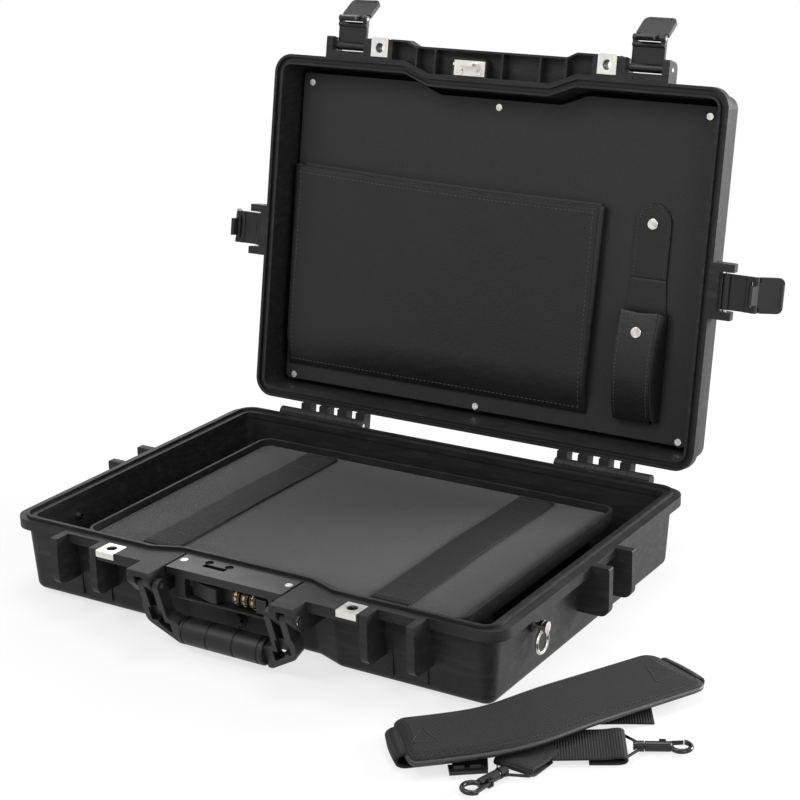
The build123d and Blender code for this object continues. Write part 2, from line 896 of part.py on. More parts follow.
def screw(x, y, z, up):
    """A slotted pan-head screw whose head sits on z; up is 1 for a head that faces +Z."""
    head = rod_z(x, y, z, z + up * screw_head_height, screw_head_radius)
    head -= box(
        x - screw_head_radius, x + screw_head_radius, y - screw_slot / 2, y + screw_slot / 2,
        z + up * screw_head_height / 2, z + up * (screw_head_height + 1),
    )
    return head + rod_z(x, y, z - up * (screw_shank_length - 0.4), z, screw_shank_radius)


def housing_screws():
    """The screws that hold the lock housing, their heads let into its top."""
    pair = screw(housing_screw_x, housing_screw_y, rim_z - screw_head_height, 1)
    return pair + mirrored(pair)


# ---- handle -------------------------------------------------------------------------------

def handle_side():
    """The right half of the handle's frame."""
    eye_top_z = handle_pivot_z + rib_depth / 2
    y0 = handle_pivot_y - rib_depth / 2
    y1 = handle_pivot_y + rib_depth / 2
    outline = [
        (inner_rib_inner_x, eye_top_z), (inner_rib_inner_x, grip_radius * 2 + 6),
        (grip_half_length + 0.5, grip_radius * 2 + 2), (grip_half_length + 0.5, handle_foot_z),
        (grip_half_length + grip_collar_length, handle_foot_z), (handle_outer_x, handle_corner_z),
        (handle_outer_x, handle_kink_z - 3), (outer_rib_outer_x, handle_kink_z),
        (outer_rib_outer_x, eye_top_z),
    ]
    radii = [sharp, 4.0, 2.0, 1.0, 6.0, 10.0, 1.0, 1.0, sharp]
    side = front_profile(outline, radii, y0, y1)
    gap = box(
        inner_rib_outer_x, outer_rib_inner_x, y0 - 1, y1 + 1, handle_web_top_z, eye_top_z + 1,
    )
    web_cut = box(
        inner_rib_inner_x + 4, handle_outer_x - 6, y0 - 1, y0 + rib_depth * 0.4,
        handle_corner_z + 2, handle_web_top_z + 1,
    )
    hole_points = [
        (grip_half_length + grip_collar_length + 5, handle_corner_z + 2),
        (grip_half_length + grip_collar_length + 5, handle_foot_z + 9),
        (handle_outer_x - 10, handle_corner_z + 2),
    ]
    hole = front_profile(hole_points, [1.5, 1.5, 1.5], y0 - 1, y1 + 1)
    side = side - gap - web_cut - hole
    round_end = rod_x(
        inner_rib_inner_x - 1, outer_rib_outer_x + 1, handle_pivot_y, handle_pivot_z, rib_depth / 2,
    )
    square_end = box(
        inner_rib_inner_x - 1, outer_rib_outer_x + 1, y0 - 1, y1 + 1, handle_pivot_z, eye_top_z + 1,
    )
    side -= square_end - round_end
    bore = rod_x(
        inner_rib_inner_x - 1, outer_rib_outer_x + 1, handle_pivot_y, handle_pivot_z,
        handle_pin_radius + running_gap,
    )
    return side - bore


def grip_z():
    """The height of the grip's centre line."""
    return handle_foot_z + grip_radius


def hung(shape):
    """A handle piece, drawn straight down from its pivot, swung back to where it rests."""
    return turned_x(shape, handle_pivot_y, handle_pivot_z, handle_rest_angle)


def handle_frame():
    """The moulded handle with the core that the grip is moulded on."""
    core = rod_x(
        -grip_half_length - 1, grip_half_length + 1, handle_pivot_y, grip_z(), grip_core_radius,
    )
    right = handle_side()
    return core + right + mirrored(right)


def handle_grip():
    """The rubber grip: a sleeve with rings at its ends and finger scallops behind."""
    grip = rod_x(-grip_half_length, grip_half_length, handle_pivot_y, grip_z(), grip_radius)
    grip = fillet(grip.edges().filter_by(GeomType.CIRCLE), 2.0)
    ring = Rot(0, 90, 0) * Torus(grip_radius, grip_groove_radius)
    for x in (grip_groove_x, grip_half_length - grip_collar_groove_inset):
        for side in (-1, 1):
            grip -= Pos(side * x, handle_pivot_y, grip_z()) * ring
    scallop_z = grip_z() + grip_radius - scallop_depth + scallop_radius
    for place in (-1, 0, 1):
        x = place * scallop_pitch
        grip -= rod_y(
            x, handle_pivot_y, handle_pivot_y + 2 * grip_radius, scallop_z, scallop_radius,
        )
    half = grip_half_length + 1
    return grip - rod_x(-half, half, handle_pivot_y, grip_z(), grip_core_radius)


def handle_pins():
    """The pins that carry the handle, with a head outside each bracket."""
    pin = rod_x(
        inner_rib_inner_x, bracket_outer_x, handle_pivot_y, handle_pivot_z, handle_pin_radius,
    )
    pin += rod_x(
        bracket_outer_x, bracket_outer_x + handle_pin_head, handle_pivot_y, handle_pivot_z,
        handle_pin_head_radius,
    )
    return pin + mirrored(pin)


# ---- padding and tray ---------------------------------------------------------------------

def floor_pad():
    """The foam pad on the floor of the base."""
    inset = wall_inset + wall_thickness + (rim_z - floor_z) * wall_slope + shell_edge_radius
    return outline_slab(inset, floor_z, floor_z + floor_pad_thickness)


def block_bottom_z():
    """The top of the floor pad."""
    return floor_z + floor_pad_thickness


def tray_z():
    """The underside of the tray."""
    return block_bottom_z() + block_height + seat_gap


def tray_blocks():
    """The four foam blocks under the corners of the tray."""
    blocks = None
    for x in (-1, 1):
        for y in (-1, 1):
            x0 = x * (tray_half_width - block_size)
            y0 = y * (tray_half_depth - block_size)
            block = box(
                x0, x * tray_half_width, y0, y * tray_half_depth,
                block_bottom_z(), block_bottom_z() + block_height,
            )
            blocks = block if blocks is None else blocks + block
    return blocks


def tray_plan(inset, z0, z1):
    """A rounded rectangle inside the tray's edge."""
    x = tray_half_width - inset
    y = tray_half_depth - inset
    radius = tray_corner_radius - inset
    return plan_profile([(-x, -y), (x, -y), (x, y), (-x, y)], [radius] * 4, z0, z1)


def laptop_tray():
    """The shallow tray the laptop lies in."""
    z0 = tray_z()
    tray = tray_plan(0, z0, z0 + tray_rim_height)
    return tray - tray_plan(tray_thickness, z0 + tray_thickness, z0 + tray_rim_height + 1)


def tray_pad():
    """The foam lining of the tray."""
    z0 = tray_z() + tray_thickness + soft_gap
    return tray_plan(tray_thickness + soft_gap, z0, z0 + tray_pad_thickness)


def tray_straps():
    """The two straps that hold the laptop, lying flat across the tray."""
    z0 = tray_z() + tray_thickness + tray_pad_thickness + 2 * soft_gap
    half_length = tray_strap_length / 2
    strap = plan_profile(
        [
            (tray_strap_x - tray_strap_width / 2, -half_length),
            (tray_strap_x + tray_strap_width / 2, -half_length),
            (tray_strap_x + tray_strap_width / 2, half_length),
            (tray_strap_x - tray_strap_width / 2, half_length),
        ],
        [4.0] * 4, z0, z0 + tray_strap_thickness,
    )
    return strap + mirrored(strap)


# ---- lid ----------------------------------------------------------------------------------

def lid_ears():
    """The two ears either side of a latch bay, with the bore for the latch pin."""
    top_z = lid_rim_z + ear_height
    points = [
        (fin_root, lid_rim_z), (-fin_reach, lid_rim_z), (-fin_reach + 3, top_z), (fin_root, top_z),
    ]
    ear = side_profile(points, [sharp, 2.0, ear_corner_radius, sharp], 0, fin_thickness)
    right = Pos(bay_gap / 2, 0, 0) * ear
    left = Pos(-bay_gap / 2 - fin_thickness, 0, 0) * ear
    half = bay_gap / 2 + fin_thickness
    block = box(-half, half, -bay_block_reach, wall_inset + 2, lid_rim_z, lid_rim_z + rim_height)
    bore = rod_x(-half + 1.5, half + 1, -latch_pin_out, latch_pin_z, latch_pin_radius)
    return right + left + block - bore


def lid_shelf_plan(inset):
    """The outline of the lid's front shelf, set in by inset."""
    side_y = shelf_front_y - 0.5 + inset
    centre_y = lid_shelf_centre_y + inset
    back_y = -half_depth + recess_depth + 6
    end_x = shelf_half_width - inset
    points = [
        (-end_x, back_y), (-end_x, side_y), (-lid_shelf_curve_x, side_y),
        (-lid_shelf_centre_x, centre_y), (lid_shelf_centre_x, centre_y),
        (lid_shelf_curve_x, side_y), (end_x, side_y), (end_x, back_y),
    ]
    radii = [sharp, 3.0, 5.0, 5.0, 5.0, 5.0, 3.0, sharp]
    return make_face(FilletPolyline(*points, radius=radii, close=True))


def lid_shelf():
    """The shelf that covers the lock housing and the padlock shelves, with its blind pockets."""
    shelf = Pos(0, 0, lid_rim_z) * extrude(lid_shelf_plan(0), lid_shelf_height)
    pockets = Pos(0, 0, lid_rim_z - 1) * extrude(lid_shelf_plan(shelf_wall), shelf_pocket_depth + 1)
    pockets -= outline_slab(-shelf_wall, lid_rim_z - 2, lid_rim_z + shelf_pocket_depth + 1)
    front_y = shelf_front_y - 1
    back_y = -half_depth + recess_depth + 1
    left_x = hasp_x - hasp_seat_half_width
    right_x = hasp_x + hasp_seat_half_width
    pockets -= plan_profile(
        [(left_x, back_y), (left_x, hasp_seat_front_y), (right_x, hasp_seat_front_y),
         (right_x, back_y)],
        [sharp, hasp_seat_corner, hasp_seat_corner, sharp], lid_rim_z - 2, lid_top_z,
    )
    for x in shelf_rib_xs:
        rib_left = x - shelf_wall / 2
        pockets -= box(rib_left, rib_left + shelf_wall, front_y, back_y, lid_rim_z - 2, lid_top_z)
    ends = box(shelf_pocket_end_x, half_width, front_y, back_y, lid_rim_z - 2, lid_top_z)
    pockets = pockets - ends - mirrored(ends)
    shelf = shelf - pockets
    plate_space = padlock_plate_blank(lid_rim_z, 1)
    hole = rod_z(padlock_x, padlock_y, lid_rim_z - 1, lid_rim_z + 20, padlock_radius)
    shelf = shelf - plate_space - mirrored(plate_space) - hole - mirrored(hole)
    return shelf


def hasp_plate_blank():
    """The flat of the hasp plate, let into the lid's rim."""
    return box(
        hasp_x - hasp_plate_half_width, hasp_x + hasp_plate_half_width,
        hasp_plate_front_y, hasp_plate_back_y, lid_rim_z, lid_rim_z + hasp_plate_thickness,
    )


def panel_screw_places():
    """The plan places of the six panel screws."""
    front_y = panel_screw_front_y
    rear_y = panel_screw_rear_y
    return [
        (-panel_screw_x, front_y), (panel_screw_x, front_y), (-panel_screw_x, rear_y),
        (panel_screw_x, rear_y), (0, panel_middle_front_y), (0, rear_y),
    ]


def lid_shell():
    """The moulded lid, drawn shut."""
    height = lid_top_z - lid_rim_z
    shell = flipped_lid(tub(wall_inset, 0, height))
    shell += outline_slab(0, lid_rim_z, lid_rim_z + rim_height)
    shell += lid_shelf()
    _, lid_spans = knuckle_spans()
    right = None
    for x0, x1 in lid_spans:
        right = lid_knuckle(x0, x1) if right is None else right + lid_knuckle(x0, x1)
    shell += right
    shell += mirrored(right)
    for name in bay_names:
        shell += bay(name) * lid_ears()
    shell += feet(lid_top_z - 1, lid_top_z + foot_height, lid_ridge_width)
    inside = flipped_lid(tub(wall_inset + wall_thickness, 0, lid_inside_z - lid_rim_z))
    shell -= inside
    shell -= outline_band(groove_inset, groove_width, lid_rim_z - 1, lid_rim_z + groove_depth)
    shell -= hasp_plate_blank()
    for x, y in panel_screw_places():
        shell += rod_z(x, y, panel_z + panel_thickness, lid_inside_z + 1, panel_boss_radius)
        shell -= rod_z(x, y, panel_z, panel_z + screw_shank_length, screw_shank_radius)
    for side in (-1, 1):
        shell -= rod_z(
            hasp_x + side * hasp_screw_dx, hasp_screw_y, lid_rim_z - 1,
            lid_rim_z + screw_shank_length, screw_shank_radius,
        )
    x0 = lid_spans[0][0] - 1
    x1 = lid_spans[-1][1] + 1
    bore = rod_x(x0, x1, hinge_y, hinge_z, hinge_pin_radius + running_gap)
    return shell - bore - mirrored(bore)


def lid_gasket():
    """The seal at the bottom of the lid's groove."""
    top_z = lid_rim_z + groove_depth
    width = groove_width - 2 * gasket_side_gap
    return outline_band(groove_inset + gasket_side_gap, width, top_z - gasket_thickness, top_z)


def hasp_plate():
    """The steel hasp plate with the tongue that enters the lock housing."""
    plate = hasp_plate_blank()
    tongue_x0 = hasp_x - hasp_tongue_width / 2
    tongue = box(
        tongue_x0, tongue_x0 + hasp_tongue_width,
        hasp_y - hasp_tongue_thickness / 2, hasp_y + hasp_tongue_thickness / 2,
        lid_rim_z - hasp_tongue_length, lid_rim_z + hasp_plate_thickness,
    )
    notch = box(
        tongue_x0 - 1, tongue_x0 + slide_travel - bolt_clear + 1,
        hasp_y - 5, hasp_y + 5,
        bolt_z() - bolt_height / 2 - 1, bolt_z() + bolt_height / 2 + 1,
    )
    plate = plate + tongue - notch
    for side in (-1, 1):
        plate -= rod_z(
            hasp_x + side * hasp_screw_dx, hasp_screw_y, lid_rim_z - 1, lid_rim_z + 3,
            screw_shank_radius,
        )
    return plate


def hasp_screws():
    """The two screws of the hasp plate."""
    left = screw(hasp_x - hasp_screw_dx, hasp_screw_y, lid_rim_z, -1)
    right = screw(hasp_x + hasp_screw_dx, hasp_screw_y, lid_rim_z, -1)
    return left + right


def lid_panel():
    """The flat panel that closes the back of the lid."""
    panel = outline_slab(panel_inset, panel_z, panel_z + panel_thickness)
    for x, y in panel_screw_places():
        panel -= rod_z(x, y, panel_z - 1, panel_z + 5, screw_shank_radius)
    return panel


def panel_screws():
    """The six panel screws."""
    screws = None
    for x, y in panel_screw_places():
        one = screw(x, y, panel_z, -1)
        screws = one if screws is None else screws + one
    return screws


def document_pouch():
    """The wide document pouch: two sheets joined at the sides and the bottom."""
    top_z = panel_z - soft_gap
    front_z = top_z - pouch_depth
    outer = plan_profile(
        [
            (pouch_left_x, pouch_mouth_left_y), (pouch_right_x, pouch_mouth_right_y),
            (pouch_right_x, pouch_bottom_y), (pouch_left_x, pouch_bottom_y),
        ],
        [3.0, 3.0, 8.0, 8.0], front_z, top_z,
    )
    left_x = pouch_left_x + 2 * pouch_sheet
    right_x = pouch_right_x - 2 * pouch_sheet
    inner = plan_profile(
        [
            (left_x, pouch_mouth_left_y - 12), (right_x, pouch_mouth_right_y - 12),
            (right_x, pouch_bottom_y - 4), (left_x, pouch_bottom_y - 4),
        ],
        [sharp, sharp, 6.0, 6.0], front_z + pouch_sheet, top_z - pouch_sheet,
    )
    return outer - inner


def mouse_pocket():
    """The small pocket at the right of the document pouch, open towards the lid's front."""
    top_z = panel_z - soft_gap
    outer_points = [
        (pocket_mouth_y, top_z), (pocket_mouth_y, top_z - pocket_mouth_depth),
        (pocket_mouth_y + 55, top_z - pocket_belly_depth),
        (pocket_bottom_y, top_z - pocket_belly_depth + 4), (pocket_bottom_y, top_z),
    ]
    outer = side_profile(outer_points, [sharp, 1.0, 20.0, 6.0, sharp], pocket_left_x, pocket_right_x)
    sheet = pouch_sheet
    inner_points = [
        (pocket_mouth_y - 5, top_z - sheet), (pocket_mouth_y - 5, top_z - pocket_mouth_depth + sheet),
        (pocket_mouth_y + 55, top_z - pocket_belly_depth + sheet),
        (pocket_bottom_y - sheet, top_z - pocket_belly_depth + 4 + sheet),
        (pocket_bottom_y - sheet, top_z - sheet),
    ]
    inner = side_profile(
        inner_points, [sharp, 1.0, 20.0, 5.0, sharp], pocket_left_x + sheet, pocket_right_x - sheet,
    )
    return outer - inner


def snap(x, y, z):
    """A round metal snap that faces down from z."""
    body = rod_z(x, y, z - snap_thickness, z, snap_radius)
    body = fillet(body.faces().sort_by(Axis.Z)[0].edges(), 0.7)
    return body


def pocket_snap():
    """The snap on the front of the mouse pocket."""
    x = (flap_left_x + flap_right_x) / 2
    return snap(x, pocket_snap_y, pocket_front_z(pocket_snap_y) - 0.1)


def pocket_front_z(y):
    """The height of the mouse pocket's front sheet at y."""
    share = (y + snap_radius - pocket_mouth_y) / 55
    depth = pocket_mouth_depth + (pocket_belly_depth - pocket_mouth_depth) * share
    return panel_z - soft_gap - depth


def pouch_flap():
    """The flap of the mouse pocket, turned up flat against the panel."""
    top_z = panel_z - soft_gap
    middle = (flap_left_x + flap_right_x) / 2
    width = (flap_right_x - flap_left_x) / 2
    points = [
        (flap_left_x, flap_fold_y), (flap_left_x, flap_top_y + width * 0.9),
        (middle - 8, flap_top_y), (middle + 8, flap_top_y),
        (flap_right_x, flap_top_y + width * 0.9), (flap_right_x, flap_fold_y),
    ]
    return plan_profile(points, [0.5, 8.0, 8.0, 8.0, 8.0, 0.5], top_z - flap_thickness, top_z)


def flap_snap():
    """The snap on the flap."""
    x = (flap_left_x + flap_right_x) / 2
    return snap(x, flap_snap_y, panel_z - soft_gap - flap_thickness)


# ---- latches ------------------------------------------------------------------------------

def latch_pin():
    """The pin of a latch arm, in the bay's place."""
    half = bay_gap / 2 + fin_thickness
    return rod_x(-half + 1.5, half, -latch_pin_out, latch_pin_z, latch_pin_radius)


def latch_arm():
    """A latch arm, hanging shut, in the bay's place."""
    half = arm_width / 2
    y = -latch_pin_out
    bar_z = latch_pin_z - arm_bar_drop
    arm = rod_x(-half, half, y, latch_pin_z, arm_barrel_radius)
    arm += box(-half, half, y - arm_thickness + 1, y + 1, bar_z, latch_pin_z)
    arm += rod_x(-half, half, y, bar_z, arm_bar_radius)
    for side in (-1, 1):
        x0 = side * half
        x1 = side * (half - arm_lug_width)
        arm += box(x0, x1, y - arm_lug_radius + 1, y + 2, lever_pin_z, bar_z)
        arm += rod_x(x0, x1, y, lever_pin_z, arm_lug_radius)
    arm -= box(
        -arm_window_half_width, arm_window_half_width, y - 2 * arm_thickness,
        y - arm_thickness + arm_window_depth, bar_z + arm_window_margin,
        latch_pin_z - arm_window_margin - arm_window_depth,
    )
    arm -= rod_x(-half - 1, half + 1, y, latch_pin_z, latch_pin_radius + running_gap)
    return arm - rod_x(-half - 1, half + 1, y, lever_pin_z, lever_pin_radius)


def lever_pin():
    """The pin between arm and lever."""
    half = arm_width / 2
    return rod_x(-half, half, -latch_pin_out, lever_pin_z, lever_pin_radius)


def latch_lever():
    """A latch lever, hanging shut, with the nose that hooks under the base's band."""
    half = arm_width / 2
    y = -latch_pin_out
    inner_half = half - arm_lug_width - running_gap * 4
    barrel = rod_x(-inner_half, inner_half, y, lever_pin_z, lever_barrel_radius)
    top_z = lever_pin_z - lever_top_drop
    plate = front_profile(
        [(-half, top_z), (half, top_z), (half, top_z - lever_length), (-half, top_z - lever_length)],
        [1.0, 1.0, lever_corner_radius, lever_corner_radius],
        y - lever_thickness + 1, y + 1,
    )
    neck = box(
        -inner_half, inner_half, y - lever_barrel_radius, y + 1, top_z - 1, lever_pin_z,
    )
    catch_z = rim_z - band_height - nose_gap
    nose_points = [
        (y - 2, lever_pin_z + 1), (y + 1.5, lever_pin_z + 3.0), (-band_reach - 1.0, catch_z),
        (-3.2, catch_z), (-3.2, catch_z - 2.2), (y + 3.0, lever_pin_z - 2.0), (y, lever_pin_z - 2),
    ]
    nose = side_profile(
        nose_points, [sharp, sharp, 0.5, 0.6, 0.6, 0.5, sharp], -nose_width / 2, nose_width / 2,
    )
    lip = rod_x(
        lever_corner_radius - half, half - lever_corner_radius, y + 1 - lever_thickness / 2,
        top_z - lever_length + lever_lip_inset, lever_lip_radius,
    )
    lever = barrel + plate + neck + nose + lip
    ridge_top_z = top_z - lever_length + lever_lip_inset + lever_lip_radius + lever_ridge_pitch / 2
    for ridge in range(lever_ridge_count):
        z = ridge_top_z + ridge * lever_ridge_pitch
        lever += box(
            -half + 5, half - 5, y - lever_thickness + 1 - lever_ridge_height,
            y - lever_thickness + 1.5, z, z + lever_ridge_width,
        )
    bore = rod_x(-half, half, y, lever_pin_z, lever_pin_radius + running_gap)
    return lever - bore


def latch_opened(shape):
    """A latch piece swung out to the arm's open stop."""
    return turned_x(shape, -latch_pin_out, latch_pin_z, -arm_open_angle)


def lever_opened(shape):
    """A lever swung open on its own pin and carried out with the arm."""
    swung = turned_x(shape, -latch_pin_out, lever_pin_z, -lever_open_angle)
    return latch_opened(swung)


# ---- shoulder strap -----------------------------------------------------------------------

def beside(out, back):
    """A point of the floor, out to the right of and back from the case's front right corner."""
    return half_width + out, -half_depth + back


def pad_line():
    """The middle line of the shoulder pad, from its left end to its right."""
    return Spline(
        beside(pad_left_out, pad_left_back), beside(pad_second_out, pad_second_back),
        beside(pad_third_out, pad_third_back), beside(pad_right_out, pad_right_back),
    )


def strap_pad():
    """The shoulder pad: a gently bent slab."""
    pad = extrude(trace(pad_line(), pad_width), pad_thickness)
    pad = fillet(pad.edges().filter_by(Axis.Z), pad_corner_radius)
    return Pos(0, 0, pad_base_z) * pad


def strip(start, end, width, z0, z1):
    """A flat strip of webbing between two floor points."""
    x0, y0 = start
    x1, y1 = end
    length = math.hypot(x1 - x0, y1 - y0)
    angle = math.degrees(math.atan2(y1 - y0, x1 - x0))
    middle = Pos((x0 + x1) / 2, (y0 + y1) / 2, (z0 + z1) / 2)
    return middle * Rot(0, 0, angle) * Box(length, width, z1 - z0)


def turned_loop(x, y, angle, z0):
    """Webbing turned over in a half ring at an end of the pad; it bulges along the angle."""
    outer = (pad_base_z + pad_thickness) / 2
    width = run_width
    ring = Cylinder(outer, width) - Cylinder(outer - webbing_thickness, width + 1)
    ring -= Pos(-outer, 0, 0) * Box(2 * outer, 3 * outer, width + 2)
    lying = Rot(90, 0, 0) * ring
    return Pos(x, y, z0 + outer) * Rot(0, 0, angle) * lying


def webbing_turns():
    """The webbing's turns round the two ends of the pad."""
    left = pad_line() % 0
    right = pad_line() % 1
    left_angle = 180 + math.degrees(math.atan2(left.Y, left.X))
    right_angle = math.degrees(math.atan2(right.Y, right.X))
    turns = turned_loop(*beside(pad_left_out, pad_left_back), left_angle, 0)
    return turns + turned_loop(*beside(pad_right_out, pad_right_back), right_angle, 0)


def strap_webbing():
    """The strap's webbing: a run under the pad, a turn at each end, two ends and two tails."""
    thick = webbing_thickness
    runs = extrude(trace(pad_line(), run_width), thick)
    runs += webbing_turns()
    left_start = beside(left_end_out, left_end_back)
    right_start = beside(right_end_out, right_end_back)
    runs += strip(left_start, loop_bar_place(0), left_end_width, 0, thick)
    runs += strip(right_start, loop_bar_place(1), right_end_width, thick, 2 * thick)
    tail_start = beside(tail_out, tail_back)
    tail_end = beside(tail_end_out, tail_end_back)
    spare_start = beside(spare_out, spare_back)
    spare_end = beside(spare_end_out, spare_end_back)
    runs += strip(spare_start, spare_end, spare_width, 0, thick)
    runs += strip(tail_start, tail_end, spare_width, 0, thick)
    return runs


def strap_buckle():
    """The slider buckle on the webbing near the pad's left end."""
    frame = Box(buckle_length, buckle_width, buckle_thickness)
    window = Box(buckle_window_length, buckle_window_width, buckle_thickness + 1)
    for side in (-1, 1):
        frame -= Pos(side * buckle_window_dx, 0, 0) * window
    x, y = beside(buckle_out, buckle_back)
    return Pos(x, y, webbing_thickness + buckle_thickness / 2) * Rot(0, 0, buckle_turn) * frame


def hook_places():
    """The places of the two swivels; each hook points along its local X."""
    left_x, left_y = beside(left_hook_out, left_hook_back)
    right_x, right_y = beside(right_hook_out, right_hook_back)
    return [
        Pos(left_x, left_y, swivel_radius) * Rot(0, 0, left_hook_turn),
        Pos(right_x, right_y, swivel_radius) * Rot(0, 0, right_hook_turn),
    ]


def hook_loop_turns():
    """How far each swivel's loop is turned from its hook."""
    return [left_loop_turn, right_loop_turn]


def loop_bar_place(index):
    """Where the webbing meets the far bar of one swivel's loop."""
    turn = Rot(0, 0, hook_loop_turns()[index])
    place = (hook_places()[index] * turn * Pos(loop_depth + seat_gap, 0, 0)).position
    return place.X, place.Y


def swivel_loop(turn):
    """A triangular wire loop with the swivel's barrel at its tip, pointing along local -X."""
    far = loop_depth
    side = loop_half_width
    tip = swivel_radius - 0.7
    outer = FilletPolyline(
        (-0.8, tip + loop_wire), (1, tip + loop_wire), (far, side), (far, -side),
        (1, -tip - loop_wire), (-0.8, -tip - loop_wire), radius=[0.3, 3, 3, 3, 3, 0.3], close=True,
    )
    far -= loop_wire
    side -= 1.9 * loop_wire
    inner = FilletPolyline(
        (-4, tip), (0.5, tip), (far, side), (far, -side), (0.5, -tip), (-4, -tip),
        radius=[0.5, 2, 1.5, 1.5, 2, 0.5], close=True,
    )
    ring = extrude(make_face(outer) - make_face(inner), loop_wire)
    ring = Rot(0, 0, turn) * Pos(0, 0, -loop_wire / 2) * ring
    barrel = Rot(0, 90, 0) * Cylinder(swivel_radius - 0.2, 6)
    barrel_bore = Rot(0, 90, 0) * Cylinder(2 + running_gap, 20)
    return ring + barrel - barrel_bore


def snap_hook():
    """A snap hook along local X: stud, body and eye with its mouth."""
    stud = rod_x(-5.5, 8, 0, 0, 2.0)
    head = rod_x(-5.5, -3.4, 0, 0, 3.2)
    body = rod_x(3.4, 24.5, 0, 0, hook_body_radius)
    body = fillet(body.edges().filter_by(GeomType.CIRCLE), 1.2)
    eye_x = 22 + hook_eye_radius
    eye = Pos(eye_x, 0, 0) * Torus(hook_eye_radius - hook_wire, hook_wire)
    mouth = box(eye_x - 6.5, eye_x + 3.0, 3.5, 20, -9, 9)
    gate_room = box(16.6, eye_x - 2, 2.0, 9, -gate_width / 2 - 0.6, gate_width / 2 + 0.6)
    lug = box(15, 20.4, 0, 6.4, -3.2, 3.2)
    gate_bore = rod_z(18.4, 4.6, -5, 5, 1.0)
    return stud + head + body + lug + (eye - mouth) - gate_room - gate_bore


def hook_gate():
    """The sprung gate that closes the hook's mouth."""
    eye_x = 22 + hook_eye_radius
    barrel = rod_z(18.4, 4.6, -gate_width / 2, gate_width / 2, 1.6)
    bar = Pos(26.2, 5.6, 0) * Rot(0, 0, 7) * Box(16.2, 2.0, gate_width)
    pin = rod_z(18.4, 4.6, -3.2, 3.2, 1.0 - running_gap)
    return barrel + bar + pin


# ---- write every sub-part -----------------------------------------------------------------

save("base_shell", base_shell())
save("hinge_pins", hinge_pins())
save("base_padlock_plates", padlock_plates(rim_z, -1))
save("strap_posts", strap_posts())
ring = strap_ring()
save("strap_ring_right", ring)
save("strap_ring_left", mirrored(ring))
save("pressure_valve", pressure_valve())
save("lock_housing", lock_housing())
save("housing_screws", housing_screws())
save("lock_slide", lock_slide())
save("dial_shaft", dial_shaft())
for index in range(dial_count):
    save(f"lock_dial_{index + 1}", lock_dial(index))
save("lock_button", lock_button())
save("handle_frame", hung(handle_frame()))
save("handle_grip", hung(handle_grip()))
save("handle_pins", handle_pins())
save("floor_pad", floor_pad())
save("tray_blocks", tray_blocks())
save("laptop_tray", laptop_tray())
save("tray_pad", tray_pad())
save("tray_straps", tray_straps())

save("lid_shell", opened(lid_shell()))
save("lid_gasket", opened(lid_gasket()))
save("lid_padlock_plates", opened(padlock_plates(lid_rim_z, 1)))
save("hasp_plate", opened(hasp_plate()))
save("hasp_screws", opened(hasp_screws()))
save("lid_panel", opened(lid_panel()))
save("panel_screws", opened(panel_screws()))
save("document_pouch", opened(document_pouch()))
save("mouse_pocket", opened(mouse_pocket()))
save("pocket_snap", opened(pocket_snap()))
save("pouch_flap", opened(pouch_flap()))
save("flap_snap", opened(flap_snap()))

all_latch_pins = None
for name in bay_names:
    pin = opened(bay(name) * latch_pin())
    all_latch_pins = pin if all_latch_pins is None else all_latch_pins + pin
    save(f"latch_arm_{name}", opened(bay(name) * latch_opened(latch_arm())))
    save(f"lever_pin_{name}", opened(bay(name) * latch_opened(lever_pin())))
    save(f"latch_lever_{name}", opened(bay(name) * lever_opened(latch_lever())))
save("latch_pins", all_latch_pins)

save("strap_pad", strap_pad())
save("strap_webbing", strap_webbing())
save("strap_buckle", strap_buckle())
for number, place in enumerate(hook_places(), start=1):
    save(f"swivel_loop_{number}", place * swivel_loop(hook_loop_turns()[number - 1]))
    save(f"snap_hook_{number}", place * snap_hook())
    save(f"hook_gate_{number}", place * hook_gate())
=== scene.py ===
import json
import math

import bmesh
import bpy
from mathutils import Matrix, Vector


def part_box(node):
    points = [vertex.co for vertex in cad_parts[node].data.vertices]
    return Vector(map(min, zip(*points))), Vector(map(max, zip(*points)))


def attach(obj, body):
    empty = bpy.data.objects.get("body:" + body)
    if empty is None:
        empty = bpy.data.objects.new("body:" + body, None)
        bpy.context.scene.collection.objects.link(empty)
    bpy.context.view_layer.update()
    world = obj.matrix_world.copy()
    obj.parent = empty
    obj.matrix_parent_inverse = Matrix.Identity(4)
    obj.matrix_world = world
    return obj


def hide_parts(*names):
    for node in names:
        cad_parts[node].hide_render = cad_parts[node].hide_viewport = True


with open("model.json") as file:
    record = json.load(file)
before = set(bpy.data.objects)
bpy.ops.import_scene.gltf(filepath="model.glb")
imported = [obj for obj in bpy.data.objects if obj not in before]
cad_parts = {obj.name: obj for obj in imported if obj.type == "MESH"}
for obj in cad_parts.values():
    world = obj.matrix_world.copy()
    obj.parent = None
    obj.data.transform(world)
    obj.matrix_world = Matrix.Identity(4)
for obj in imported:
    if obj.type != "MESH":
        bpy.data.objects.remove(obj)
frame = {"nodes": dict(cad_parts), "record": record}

bl_info = {
    "name": "Laptop hard case",
    "version": (1, 0, 0),
    "blender": (4, 5, 0),
    "location": "3D View > Sidebar > Hard Case",
    "description": "Finishes, padding, pouches, shoulder strap and studio for a laptop hard case",
    "category": "Object",
}

# Metres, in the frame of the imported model: +Z up, -Y towards the handle.
UP = Vector((0.0, 0.0, 1.0))
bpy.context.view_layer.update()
JOINTS = {joint["name"]: joint for joint in frame["record"]["behaviour"]["joints"]}
LID_HINGE = Vector(JOINTS["lid_hinge"]["pos_m"])
LID_ANGLE = math.radians(-JOINTS["lid_hinge"]["range_deg"][0])
BAYS = ("front_left", "front_right", "side_left", "side_right")

